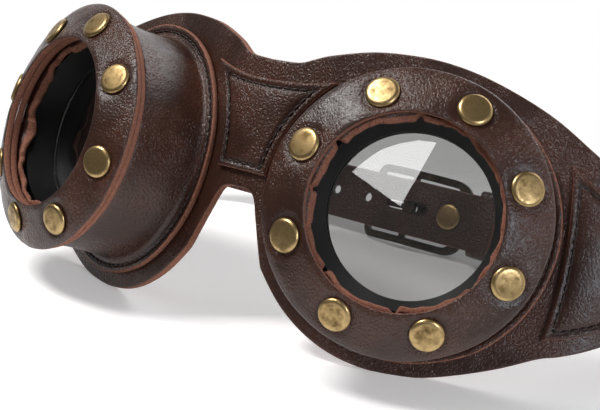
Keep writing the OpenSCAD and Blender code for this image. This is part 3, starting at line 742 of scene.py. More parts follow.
def seam_tree():
    """Stitches along the edges of a mesh of paths, each standing on its up attribute."""
    known = bpy.data.node_groups.get("seam")
    if known:
        return known
    tree = bpy.data.node_groups.new("seam", "GeometryNodeTree")
    group_socket(tree, "Paths", "NodeSocketGeometry")
    group_socket(tree, "Pitch", "NodeSocketFloat", 2.5 * MM)
    group_socket(tree, "Length", "NodeSocketFloat", 1.9 * MM)
    group_socket(tree, "Thread", "NodeSocketFloat", 0.62 * MM)
    group_socket(tree, "Material", "NodeSocketMaterial")
    tree.interface.new_socket("Stitches", in_out="OUTPUT", socket_type="NodeSocketGeometry")
    given = add(tree, "NodeGroupInput").outputs
    half = add(tree, "ShaderNodeMath", {0: given["Length"], 1: 0.5}, operation="MULTIPLY")
    back = add(tree, "ShaderNodeMath", {0: given["Length"], 1: -0.5}, operation="MULTIPLY")
    start = add(tree, "ShaderNodeCombineXYZ", {"X": back})
    end = add(tree, "ShaderNodeCombineXYZ", {"X": half})
    line = add(tree, "GeometryNodeCurvePrimitiveLine", {"Start": start, "End": end})
    line = add(tree, "GeometryNodeResampleCurve", {"Curve": line, "Count": 7})
    # Each stitch rises over the leather and dives into it at both ends
    along = add(tree, "GeometryNodeSplineParameter").outputs["Factor"]
    wave = add(tree, "ShaderNodeMath", {0: along, 1: math.pi}, operation="MULTIPLY")
    wave = add(tree, "ShaderNodeMath", {0: wave}, operation="SINE")
    rise = add(tree, "ShaderNodeMath", {0: wave, 1: given["Thread"]}, operation="MULTIPLY")
    rise = add(tree, "ShaderNodeMath", {0: rise, 1: 0.55}, operation="MULTIPLY")
    lift = add(tree, "ShaderNodeCombineXYZ", {"Z": rise})
    line = add(tree, "GeometryNodeSetPosition", {"Geometry": line, "Offset": lift})
    radius = add(tree, "ShaderNodeMath", {0: given["Thread"], 1: 0.5}, operation="MULTIPLY")
    section = add(tree, "GeometryNodeCurvePrimitiveCircle", {"Resolution": 7, "Radius": radius})
    stitch = add(tree, "GeometryNodeCurveToMesh",
                 {"Curve": line, "Profile Curve": section, "Fill Caps": True})
    path = add(tree, "GeometryNodeMeshToCurve", {"Mesh": given["Paths"]})
    path = add(tree, "GeometryNodeResampleCurve",
               {"Curve": path, "Length": given["Pitch"]}, mode="LENGTH")
    tangent = add(tree, "GeometryNodeInputTangent")
    up = add(tree, "GeometryNodeInputNamedAttribute", {"Name": "up"}, data_type="FLOAT_VECTOR")
    turn = add(tree, "FunctionNodeAlignRotationToVector", {"Vector": tangent}, axis="X")
    turn = add(tree, "FunctionNodeAlignRotationToVector",
               {"Rotation": turn, "Vector": up}, axis="Z", pivot_axis="X")
    sway = add(tree, "FunctionNodeRandomValue",
               {"Min": (0, 0, -0.12), "Max": (0, 0, 0.12), "Seed": 5},
               data_type="FLOAT_VECTOR")
    sway = add(tree, "FunctionNodeEulerToRotation", {"Euler": sway})
    turn = add(tree, "FunctionNodeRotateRotation",
               {"Rotation": turn, "Rotate By": sway}, rotation_space="LOCAL")
    sewn = add(tree, "GeometryNodeInstanceOnPoints",
               {"Points": path, "Instance": stitch, "Rotation": turn})
    sewn = add(tree, "GeometryNodeRealizeInstances", {"Geometry": sewn})
    sewn = add(tree, "GeometryNodeSetShadeSmooth", {"Geometry": sewn})
    sewn = add(tree, "GeometryNodeSetMaterial", {"Geometry": sewn, "Material": given["Material"]})
    add(tree, "NodeGroupOutput", {"Stitches": sewn})
    return tree


def rivet_tree():
    """A rivet on every point, square to the point's up attribute and turned at random."""
    known = bpy.data.node_groups.get("rivets")
    if known:
        return known
    tree = bpy.data.node_groups.new("rivets", "GeometryNodeTree")
    group_socket(tree, "Places", "NodeSocketGeometry")
    group_socket(tree, "Rivet", "NodeSocketObject")
    group_socket(tree, "Seed", "NodeSocketInt", 3)
    group_socket(tree, "Material", "NodeSocketMaterial")
    tree.interface.new_socket("Rivets", in_out="OUTPUT", socket_type="NodeSocketGeometry")
    given = add(tree, "NodeGroupInput").outputs
    blank = add(tree, "GeometryNodeObjectInfo", {"Object": given["Rivet"]})
    up = add(tree, "GeometryNodeInputNamedAttribute", {"Name": "up"}, data_type="FLOAT_VECTOR")
    turn = add(tree, "FunctionNodeAlignRotationToVector", {"Vector": up}, axis="Z")
    spin = add(tree, "FunctionNodeRandomValue",
               {"Min": (0, 0, 0), "Max": (0, 0, 6.283), "Seed": given["Seed"]},
               data_type="FLOAT_VECTOR")
    spin = add(tree, "FunctionNodeEulerToRotation", {"Euler": spin})
    turn = add(tree, "FunctionNodeRotateRotation",
               {"Rotation": turn, "Rotate By": spin}, rotation_space="LOCAL")
    spots = add(tree, "GeometryNodeMeshToPoints", {"Mesh": given["Places"]})
    set_in = add(tree, "GeometryNodeInstanceOnPoints",
                 {"Points": spots, "Instance": blank.outputs["Geometry"], "Rotation": turn})
    set_in = add(tree, "GeometryNodeRealizeInstances", {"Geometry": set_in})
    set_in = add(tree, "GeometryNodeSetMaterial",
                 {"Geometry": set_in, "Material": given["Material"]})
    add(tree, "NodeGroupOutput", {"Rivets": set_in})
    return tree


def grow(piece, tree, values):
    """Runs a geometry tree on a piece, with its inputs given by name."""
    modifier = piece.modifiers.new(tree.name, "NODES")
    modifier.node_group = tree
    for socket in tree.interface.items_tree:
        if socket.item_type == "SOCKET" and socket.in_out == "INPUT" and socket.name in values:
            modifier[socket.identifier] = values[socket.name]


def path_piece(form, name, paths, replaces=(), slot=""):
    """Mesh of points or closed paths with an up direction. Each path is a list of (point, up)."""
    verts, edges, ups = [], [], []
    turn = form.rest.to_3x3()
    for path in paths:
        first, count = len(verts), len(path)
        verts += [form.to_scene @ p for p, _ in path]
        ups += [(turn @ up).normalized() for _, up in path]
        if count > 1:
            edges += [(first + i, first + (i + 1) % count) for i in range(count)]
    mesh = bpy.data.meshes.new(name)
    mesh.from_pydata(verts, edges, [])
    mesh.attributes.new("up", "FLOAT_VECTOR", "POINT").data.foreach_set(
        "vector", [c for up in ups for c in up])
    return piece_of(name, mesh, replaces, "goggles", slot)


# The mask and its patches
def patch_relief(inset, crown, seed):
    """Sewn patch: a seam's groove near the edge and a soft crown inside it."""
    def relief(s, z, d):
        groove = math.exp(-((d - inset) / 0.55) ** 2)
        rise = crown * (1 - math.exp(-max(0.0, d - inset) / 3.2))
        lip = 0.15 * math.exp(-((d - 0.9) / 0.5) ** 2)
        return rise + lip - 0.5 * groove + 0.12 * lumps((s, z, 0), 7, seed), groove
    return relief


def bridge_grid(form):
    """Grid of (s, z) over the bridge patch, whose sides follow the cups."""
    cup_gap, low, margin, sag = 4.6, 0.6, 2.2, 3.6
    edge_r, high = form.flange_r + cup_gap, form.bridge_top - margin
    half_s = form.cup_s - math.sqrt(edge_r ** 2 - high ** 2)
    grid = []
    for u in graded(2, (0, 0.004, 0.012, 0.028, 0.05, 0.08), 0.05):
        column = []
        for v in graded(1, (0, 0.003, 0.008, 0.018, 0.032, 0.052), 0.028):
            # The top sags to the middle and the sides bow, so s and z are closed in on
            s = 0.0
            for _ in range(4):
                z = low + (high - sag * (1 - (s / half_s) ** 2) - low) * v
                s = (u - 1) * (form.cup_s - math.sqrt(edge_r ** 2 - z ** 2))
            column.append((s, z))
        grid.append(column)
    return grid


def temple_grid(form, side):
    """Grid of (s, z) over a temple patch, whose near side is a long arc beside its cup."""
    top, low = mask_outline(form)
    near_r, near_z, cup_gap, reach = 134, -10, 2.2, 0.84
    low_margin, top_margin = 5, 7.4
    far_s = form.wing_s + (form.tab_s - form.wing_s) * reach
    grid = []
    for u in graded(1, (0, 0.003, 0.008, 0.017, 0.03, 0.05), 0.028):
        column = []
        for v in graded(1, (0, 0.002, 0.005, 0.01, 0.018, 0.029), 0.018):
            s = form.wing_s
            for _ in range(4):
                z0, z1 = height_on(low, s) + low_margin, height_on(top, s) - top_margin
                z = z0 + (z1 - z0) * v
                bow = math.sqrt(near_r ** 2 - (z - near_z) ** 2)
                near = form.cup_s + form.flange_r + cup_gap - near_r + bow
                s = near + (far_s - near) * u
            column.append((side * s, z))
        grid.append(column)
    return grid


def inset_path(form, grid, inset, depth):
    """Closed seam path that runs inside a grid's border, on the mask."""
    border = border_of(grid)
    area = sum(a[0] * b[1] - b[0] * a[1] for a, b in zip(border, border[1:] + border[:1]))
    sign = 1 if area > 0 else -1
    to_border = distance_to(border)
    path = []
    for i, p in enumerate(border):
        a, b = border[i - 3], border[(i + 3) % len(border)]
        along = Vector((b[0] - a[0], b[1] - a[1])).normalized()
        inward = Vector((-along.y, along.x)) * sign
        q = Vector(p) + inward * inset
        # Points that a corner brings too near the border, or to each other, are left out
        apart = not path or math.dist(path[-1], (q.x, q.y)) >= 0.25
        if apart and to_border(q.x, q.y) >= inset * 0.97:
            path.append((q.x, q.y))
    made = []
    for s, z in path:
        here, under = form.on_mask(s, z, depth), form.on_mask(s, z, depth + 1)
        made.append((here, here - under))
    return made


class GOGGLES_OT_mask(bpy.types.Operator):
    """Cut the leather face mask with its lobes, nose notch and temple wings"""

    bl_idname = "goggles.mask"
    bl_label = "Mask"

    def execute(self, context):
        form = Form(context)
        top, low = mask_outline(form)
        corner_r, fine, coarse = 5, 0.55, 0.95
        # Stations are close together over the nose notch and at the tabs' round corners
        half = [fine * i for i in range(1, int((form.bridge_len + 5) / fine))]
        last = form.end_s - corner_r
        steps = int((last - half[-1]) / coarse)
        half += [half[-1] + (last - half[-1]) * i / steps for i in range(1, steps)]
        half += [last + corner_r * math.sin(math.radians(a))
                 for a in (0, 10, 20, 30, 40, 50, 60, 70, 78, 84, 90)]
        grid = []
        for s in [-s for s in reversed(half)] + [0] + half:
            over = max(0.0, abs(s) - last)
            corner = corner_r - math.sqrt(max(0.0, corner_r ** 2 - over * over))
            z0, z1 = height_on(low, abs(s)) + corner, height_on(top, abs(s)) - corner
            grid.append([(s, z0 + (z1 - z0) * v)
                         for v in graded(1, (0, 0.0012, 0.0035, 0.0075, 0.014, 0.024), 0.024)])

        def relief(s, z, d):
            soft = 0.22 * lumps((s, z, 0), 13, 2) + 0.1 * lumps((s, z, 0), 5, 7)
            return soft * min(1.0, d / 3), 0.0

        verts, faces, marks = slab(grid, form.on_mask, 0, form.mask_t, form.edge, relief)
        mask = put(form, "mask_leather", verts, faces, marks, ("mask_base",))
        cup_hole_r = 29.9
        drill(mask, form, [(form.cup(side), cup_hole_r, 30) for _, side in SIDES])
        # Worn edges and lumps stay above the table
        for vertex in mask.data.vertices:
            vertex.co.z = max(vertex.co.z, 0.0)
        sharpen(mask, 50)
        settle(mask, cowhide())
        return {"FINISHED"}


class GOGGLES_OT_patches(bpy.types.Operator):
    """Cut the sewn patches at the bridge and the temples"""

    bl_idname = "goggles.patches"
    bl_label = "Patches"

    def execute(self, context):
        form = Form(context)
        inset = context.scene.goggle_seams.inset / MM
        depth, crown = -form.gap - form.patch_t, 0.7
        kinds = [("bridge_patch", bridge_grid(form), 3.0)]
        kinds += [(f"temple_patch_{name}", temple_grid(form, side), 5.0 + side)
                  for name, side in SIDES]
        for node, grid, seed in kinds:
            verts, faces, marks = slab(grid, form.on_mask, depth, form.patch_t, form.edge,
                                       patch_relief(inset, crown, seed))
            settle(put(form, node + "_leather", verts, faces, marks, (node,)), cowhide())
        return {"FINISHED"}


# The cups
# Tabs that are cut into a wall's turned-in edge
TABS = 22


def wall_radius(form, share):
    """Outer radius of the cup wall at a share of its height."""
    taper = (form.wall_top_r - form.wall_base_r) * share
    return form.wall_base_r + taper - 4 * form.wall_waist * share * (1 - share)


class GOGGLES_OT_cup_walls(bpy.types.Operator):
    """Form the cup walls, with a sewn flange at the foot and notched tabs under the ring"""

    bl_idname = "goggles.cup_walls"
    bl_label = "Cup walls"

    def execute(self, context):
        form = Form(context)
        for name, side in SIDES:
            rows, raw, crease_shade = self.rows(form, side)
            verts, faces = net(rows)
            wall = put(form, f"cup_wall_{name}_leather", verts, faces,
                       {"raw": raw, "crease_shade": crease_shade}, (f"cup_wall_{name}",), form.cup(side))
            settle(wall, cowhide())
        return {"FINISHED"}

    def profile(self, form, shoulder):
        """Section of a wall, from its flange's edge up its outside and back down its inside.

        Entries are (radius, height, raw, crease). Those of the tabs are ("tab", share of the way
        to their edge, share of their thickness, raw), because the edge wanders.
        """
        t, e, foot, root_r = form.wall_t, form.edge, form.foot_h, form.tab_root_r
        rise = shoulder - foot - form.fillet
        outer = [(form.flange_r, form.gap + 0.5, 1, 0), (form.flange_r, foot - e, 1, 0)]
        outer += [(r, h, 0.85 - 0.2 * i, 0) for i, (r, h) in enumerate(
            arc(form.flange_r - e, foot - e, e, 30, 90, 2))]
        for r in (37.5, 37.1, 36.8, 36.6, 36.4, 36.2, 36.0, 35.8):
            groove = math.exp(-((r - form.flange_seam_r) / 0.5) ** 2)
            outer.append((r, foot - 0.5 * groove + 0.06, 0, groove))
        outer += [(r, h, 0, 0) for r, h in arc(
            form.wall_base_r + form.fillet, foot + form.fillet, form.fillet, 270, 180, 5)]
        outer += [(wall_radius(form, k / 16), foot + form.fillet + rise * k / 16, 0, 0)
                  for k in range(1, 16)]
        outer += [(r, h, 0, 0) for r, h in arc(form.wall_top_r - form.crown, shoulder, form.crown,
                                               0, 90 - math.degrees(form.slope), 5)]
        outer += [(r, form.under_face(r, form.tabs_at), 0, 0) for r in (32, 29.5, root_r)]
        tabs = [("tab", k, 0.0, 0 if k < 0.8 else 1) for k in (0.2, 0.4, 0.6, 0.8, 0.94)]
        tabs += [("tab", 1.0, 0.12, 1), ("tab", 1.0, 0.5, 1), ("tab", 1.0, 0.88, 1)]
        tabs += [("tab", k, 1.0, 1) for k in (0.95, 0.8, 0.5, 0.25)]
        inner = [(r, form.under_face(r, form.tabs_at + t), 1, 0)
                 for r in (root_r, 30, form.wall_top_r - t)]
        inner += [(wall_radius(form, k / 6) - t, foot + form.fillet + rise * k / 6, 1, 0)
                  for k in range(5, 0, -1)]
        inner += [(form.wall_base_r - t, form.gap, 1, 0), (form.flange_r - 0.4, form.gap, 1, 0)]
        return outer + tabs + inner

    def tab_edge(self, form, side, a):
        """Radius of the tabs' edge at an angle, and how far they droop there."""
        # The edge wanders, and a few of the cuts between the tabs gape
        noise_r = 27
        near_edge = spun(noise_r, a, side)
        wave = 1.5 * lumps(spun(noise_r, a, 3 * side), 12, 4) + 0.7 * lumps(near_edge, 4, 6)
        cut = TABS * a / (2 * math.pi) + 0.3 * lumps(spun(noise_r, a, 0), 10, 9)
        gape = max(0.0, lumps((round(cut) % TABS * 3.7, side * 5.3, 0), 1, 13) + 0.08)
        notch = max(0.0, 1 - abs(cut - round(cut)) / 0.2)
        notch *= notch * (3 - 2 * notch) * 3.6 * gape
        # In places the tabs curl down and away from the ring
        droop = 1.1 + 2.6 * max(0.0, math.cos(a - math.pi * 0.9)) ** 2
        droop += 2.6 * lumps(near_edge, 12, 11) + 1.2 * lumps(near_edge, 4, 3)
        return form.opening_r - 1.0 + wave + notch, max(0.1, droop)

    def rows(self, form, side):
        """One cup's wall, as rings of points with their raw and crease marks."""
        t, foot, root_r, turns = form.wall_t, form.foot_h, form.tab_root_r, 440
        shoulder = form.under_face(form.wall_top_r, form.tabs_at) - form.crown
        profile = self.profile(form, shoulder)
        rows, raw, crease_shade = [], [], []
        for j in range(turns):
            a = 2 * math.pi * j / turns
            edge_r, droop = self.tab_edge(form, side, a)
            row = []
            for entry in profile:
                if entry[0] == "tab":
                    _, k, layer, bare = entry
                    groove = 0
                    r = root_r + (edge_r - root_r) * k
                    h = form.under_face(r, form.tabs_at + t * layer * (1 - 0.35 * k))
                    h -= droop * k ** 2
                    if layer == 0.5:
                        r -= 0.15
                else:
                    r, h, bare, groove = entry
                    if bare == 0:
                        # The leather bellies out between the foot and the ring
                        free = max(0.0, min(1.0, (h - foot) / 6, (shoulder - h) / 6))
                        x, y, _ = spun(r, a, h)
                        puff = 0.42 + 0.42 * lumps((x, y, h), 11, side)
                        ridge = 0.12 * lumps((x * 2.2, y * 2.2, h * 0.35), 6, 3)
                        r += free * (puff + ridge)
                    if r > form.wall_base_r + form.fillet and h <= foot + 0.1:
                        r += 0.35 * lumps(spun(40, a, 0), 16, side) * (r - 35) / 3.5
                row.append(spun(r, a, h))
                raw.append(float(bare))
                crease_shade.append(float(groove))
            rows.append(row)
        return rows, raw, crease_shade


class GOGGLES_OT_rings(bpy.types.Operator):
    """Cut the two leather layers of each riveted ring"""

    bl_idname = "goggles.rings"
    bl_label = "Rings"

    def execute(self, context):
        form = Form(context)
        # The lower layer is set back at the opening and shows at the ring's outer edge
        set_back, shows = 0.3, 0.2
        under_r = form.ring_r - form.under_at * math.sin(form.slope) + shows
        for name, side in SIDES:
            self.layer(form, f"front_ring_{name}", side, 0, form.opening_r, form.ring_r)
            self.layer(form, f"under_ring_{name}", side, form.under_at,
                       form.opening_r + set_back, under_r)
        return {"FINISHED"}

    def profile(self, form, width, step):
        """Section of a layer, as (place across, depth, raw)."""
        t, e, chamfer = form.ring_t, form.edge, 0.3
        made = []
        for u in graded(width, EDGE_STEPS, step):
            d = min(u, width - u)
            made.append((u, worn(e, d), max(0.0, 1 - d / (e * 0.5))))
        return made + [(width, t * 0.5, 1), (width, t - chamfer, 1), (width - chamfer, t, 1),
                       (width * 0.5, t, 1), (chamfer, t, 1), (0, t - chamfer, 1), (0, t * 0.5, 1)]

    def proud(self, form, side, r, a, to_rivet, rim):
        """How far the leather swells round the rivets that press it down."""
        pressed_r, slack = 4.45, 1.25
        away = math.hypot((r - form.rivet_circle_r) / math.cos(form.slope), r * to_rivet)
        swell = 1 - math.exp(-(max(0.0, away - pressed_r) / slack) ** 2)
        spot = spun(r, a, side)
        return (0.5 * swell * rim + 0.22 * lumps(spot, 9, 5) * swell
                + 0.12 * lumps(spot, 3.2, 8) * swell * rim)

    def layer(self, form, node, side, depth, inner_r, outer_r):
        """One layer, pressed down by the rivets and slightly uneven between them."""
        top = node.startswith("front")
        turns, width = 420 if top else 240, outer_r - inner_r
        profile = self.profile(form, width, 0.55 if top else 2)
        turn0, share = math.radians(form.rivet_turns[side]), 2 * math.pi / form.rivets
        rows, raw = [], []
        for j in range(turns):
            a = 2 * math.pi * j / turns
            to_rivet = (a - turn0 + share / 2) % share - share / 2
            ragged = 0.16 * lumps(spun(30, a, depth), 9, side + 3)
            row = []
            for u, d, bare in profile:
                r, proud = inner_r + u, 0.0
                if top and d < form.ring_t * 0.4:
                    rim = min(1.0, u / 1.6, (width - u) / 1.6)
                    proud = self.proud(form, side, r, a, to_rivet, rim)
                shift = d * math.sin(form.slope) * (u / width)
                bow = ragged * (1 if u > width / 2 else -0.6)
                rr = r - shift + bow * abs(2 * u / width - 1)
                row.append(spun(rr, a, form.under_face(rr, depth + d) + proud))
                raw.append(float(bare))
            rows.append(row)
        verts, faces = net(rows)
        ring = put(form, node + "_leather", verts, faces, {"raw": raw, "crease_shade": [0.0] * len(raw)},
                   (node,), form.cup(side), slot="leather" if top else "raw_leather")
        settle(ring, cowhide() if top else leather_split())


class GOGGLES_OT_lenses(bpy.types.Operator):
    """Finish the smoked lenses, their sleeves and the rings that hold them"""

    bl_idname = "goggles.lenses"
    bl_label = "Lenses"

    def execute(self, context):
        for name, _ in SIDES:
            dress(frame["nodes"][f"lens_{name}"].data, smoked_glass())
            for part in ("sleeve", "retainer"):
                dress(frame["nodes"][f"lens_{part}_{name}"].data, satin_plastic())
        return {"FINISHED"}


# Strap, keeper and buckle
def rounded(points, times=2):
    """Cuts the corners of a path, so that it bends softly."""
    for _ in range(times):
        cut = [points[0]]
        for a, b in zip(points, points[1:]):
            cut += [(a[0] * 0.75 + b[0] * 0.25, a[1] * 0.75 + b[1] * 0.25),
                    (a[0] * 0.25 + b[0] * 0.75, a[1] * 0.25 + b[1] * 0.75)]
        points = cut + [points[-1]]
    return points


def even(points, step):
    """Path resampled at an even step."""
    lengths = [0.0]
    for a, b in zip(points, points[1:]):
        lengths.append(lengths[-1] + math.dist(a, b))
    count = max(2, round(lengths[-1] / step))
    made, k = [], 0
    for i in range(count + 1):
        want = lengths[-1] * i / count
        while k < len(points) - 2 and lengths[k + 1] < want:
            k += 1
        share = (want - lengths[k]) / max(1e-9, lengths[k + 1] - lengths[k])
        a, b = points[k], points[k + 1]
        made.append((a[0] + (b[0] - a[0]) * share, a[1] + (b[1] - a[1]) * share))
    return made, lengths[-1]


def slope_foot(radius, offset):
    """Where a strap that leaves a round at a slope of 20 degrees comes down to a straight run,
    as a distance from the round's middle. offset is the run's distance from that middle."""
    slope = math.radians(20)
    return radius * math.sin(slope) + (radius * math.cos(slope) - offset) / math.tan(slope)


class GOGGLES_OT_straps(bpy.types.Operator):
    """Cut the two straps and thread them through the buckle"""

    bl_idname = "goggles.straps"
    bl_label = "Straps"

    def execute(self, context):
        form = Form(context)
        self.right(form)
        self.left(form)
        return {"FINISHED"}

    def right(self, form):
        """The right strap, folded round the centre bar and riveted to itself."""
        t, fold_mid = form.strap_t, form.bar_fold + form.strap_t / 2
        flap_l, slot_w = 23, 4.4
        flap_mid = -form.bar_fold + form.gap + t / 2
        flap_foot, flap_y = slope_foot(fold_mid, flap_mid), form.loop_depth + flap_mid
        line = self.side_line(form, form.loop_depth - form.bar_fold - t / 2)
        line += arc(form.bar_x, form.loop_depth, fold_mid, 270, 70, 24)
        line += [(form.bar_x + flap_foot, flap_y), (form.bar_x + flap_l, flap_y)]
        strap = self.strip(form, "strap_right", line, 4)
        drill(strap, form, self.holes(form, 1, [(form.fold_rivet_x, form.post_hole_r)]))
        self.cut_slot(form, strap, form.bar_x - 2 * fold_mid, form.bar_x + flap_foot + 1, slot_w)
        sharpen(strap, 40)
        settle(strap, cowhide())

    def left(self, form):
        """The left strap, over the buckle's bar and through the keeper to its pointed tip."""
        t, run_y = form.strap_t, form.loop_depth + form.free_inner + form.strap_t / 2
        tip_l, hole_pitch, hole_r, slot_w = 46, 13, 1.6, 2.8
        hump_r = form.bar_fold + t + 0.15 + t / 2
        hump_foot = slope_foot(hump_r, form.free_inner + t / 2)
        line = [(-x, y) for x, y in self.side_line(form, run_y)]
        line += [(form.bar_x - hump_foot, run_y)]
        line += arc(form.bar_x, form.loop_depth, hump_r, 110, 70, 2)
        line += [(form.bar_x + hump_foot, run_y), (form.bar_x + tip_l, run_y)]
        strap = self.strip(form, "strap_left", line, form.strap_w * 0.6)
        # The hole in use is a slot, so that the prong can lift out of it
        slot_start, slot_end = form.bar_x - form.prong_exit - 1.4, form.bar_x + 1.55
        in_use = (slot_start + form.bar_x) / 2
        spare = [(in_use + hole_pitch * i, hole_r) for i in (-2, -1, 1, 2, 3)]
        drill(strap, form, self.holes(form, -1, spare))
        self.cut_slot(form, strap, slot_start, slot_end, slot_w)
        sharpen(strap, 40)
        settle(strap, cowhide())

    def side_line(self, form, run_y):
        """Line of a strap's middle on the right, from the temple to the start of its rear run."""
        bend_r = 38
        x = form.side_x - form.mask_t - form.gap - form.strap_t / 2
        return [(x, form.wing_c[1] - 0.5)] + arc(x - bend_r, run_y - bend_r, bend_r, 0, 90, 30)

    def holes(self, form, side, rear):
        """Holes for the temple rivets, and for each (x, radius) through the rear run."""
        across, along = (Matrix.Rotation(math.pi / 2, 4, axis) for axis in "YX")
        made = [(Matrix.Translation(p) @ across, form.post_hole_r, 16)
                for p, _ in form.temple_places(side)]
        return made + [(Matrix.Translation((x, form.loop_depth, form.strap_z)) @ along, radius, 16)
                       for x, radius in rear]

    def strip(self, form, node, line, tip_r):
        """A strap along a plan path, with its end rounded by tip_r."""
        path, total = even(rounded(line), 0.8)
        t, w = form.strap_t, form.strap_w
        side = 1 if path[0][0] > 0 else -1

        def place(s, z, depth):
            k = max(0.0, min(len(path) - 1.001, s / total * (len(path) - 1)))
            i, share = int(k), k - int(k)
            a, b = Vector(path[i]), Vector(path[i + 1])
            along = (b - a).normalized()
            if 0 < i:
                before = (a - Vector(path[i - 1])).normalized()
                along = (before * (1 - share) + along * share).normalized()
            at = a + (b - a) * share
            out = Vector((along.y, -along.x))
            spot = at - out * (depth * side)
            return Vector((spot.x, spot.y, z))

        # The tip ends where it would be narrower than this
        blunt = 2.5
        grid = []
        for s in graded(total, EDGE_STEPS, 0.9):
            over = max(0.0, s - (total - tip_r))
            full = math.sqrt(max(0.0, tip_r * tip_r - over * over)) if over else w
            low = max(0.0, w / 2 - full) if over else 0.0
            z0, z1 = form.strap_z - w / 2 + low, form.strap_z + w / 2 - low
            if z1 - z0 < blunt:
                break
            grid.append([(s, z0 + (z1 - z0) * v)
                         for v in graded(1, (0, 0.004, 0.011, 0.024, 0.042, 0.07), 0.07)])

        def relief(s, z, d):
            # A soft ridge and a creased line run beside each edge; the crease is darkened a little
            # in colour as painted shade
            soft = 0.1 * lumps((s, z, 0), 9, side) + 0.12 * math.exp(-((d - 2.2) / 0.9) ** 2)
            return soft * min(1.0, d / 2), 0.25 * math.exp(-((d - 1.1) / 0.35) ** 2)

        # Both faces of the strap are finished
        verts, faces, marks = slab(grid, place, -t / 2, t, form.edge, relief, flesh=0.0)
        return put(form, node + "_leather", verts, faces, marks, (node,))

    def cut_slot(self, form, strap, x0, x1, width):
        """Cuts a slot with round ends through the rear run."""
        through = 14
        work = bmesh.new()
        bmesh.ops.create_cube(work, size=1)
        middle = Matrix.Translation(((x0 + x1) / 2, form.loop_depth, form.strap_z))
        size = Matrix.Diagonal((x1 - x0, through, width, 1))
        bmesh.ops.transform(work, matrix=form.to_scene @ middle @ size, verts=work.verts)
        corners = [e for e in work.edges if abs(e.calc_length() - through * MM) < 1e-6]
        bmesh.ops.bevel(work, geom=corners, offset=width * 0.45 * MM, segments=6,
                        affect="EDGES", profile=0.5)
        cut_away(strap, work)


class GOGGLES_OT_keeper(bpy.types.Operator):
    """Bend the sliding keeper round both straps"""

    bl_idname = "goggles.keeper"
    bl_label = "Sliding keeper"

    def execute(self, context):
        form = Form(context)
        t, w, play, corner_r, from_bar = 1.5, 8, 0.35, 0.45, 27
        low = -form.bar_fold - form.strap_t - play
        high = form.free_inner + form.strap_t + play
        half_y, half_z = (high - low) / 2, form.strap_w / 2 + play
        middle = Vector((form.bar_x + from_bar + w / 2, form.loop_depth + (low + high) / 2,
                         form.strap_z))
        # Points of the section are (place along the strap, height over the inner face)
        section = [(-w / 2 + 0.4, 0), (-w / 2, 0.4), (-w / 2, t - 0.45), (-w / 2 + 0.15, t - 0.12),
                   (-w / 2 + 0.5, t), (-w / 4, t + 0.1), (0, t + 0.14), (w / 4, t + 0.1),
                   (w / 2 - 0.5, t), (w / 2 - 0.15, t - 0.12), (w / 2, t - 0.45), (w / 2, 0.4),
                   (w / 2 - 0.4, 0)]
        bare = [1.0, 1.0, 1.0, 0.7, 0.0, 0.0, 0.0, 0.0, 0.0, 0.7, 1.0, 1.0, 1.0]
        rows, raw = [], []
        for sy, sz, start in ((1, 1, 0), (-1, 1, 90), (-1, -1, 180), (1, -1, 270)):
            corner = Vector((0, sy * (half_y - corner_r), sz * (half_z - corner_r)))
            for k in range(7):
                a = math.radians(start + 15 * k)
                way = Vector((0, math.cos(a), math.sin(a)))
                rows.append([middle + corner + way * (corner_r + out) + Vector((x, 0, 0))
                             for x, out in section])
                raw += bare
        verts, faces = net(rows)
        keeper = put(form, "keeper_leather", verts, faces, {"raw": raw, "crease_shade": [0.0] * len(raw)},
                     ("sliding_keeper",), body="keeper")
        settle(keeper, cowhide())
        return {"FINISHED"}


class GOGGLES_OT_buckle(bpy.types.Operator):
    """Finish the buckle's frame and prong"""

    bl_idname = "goggles.buckle"
    bl_label = "Buckle"

    def execute(self, context):
        for node in ("buckle_frame", "buckle_prong"):
            dress(frame["nodes"][node].data, blackened_brass())
        return {"FINISHED"}


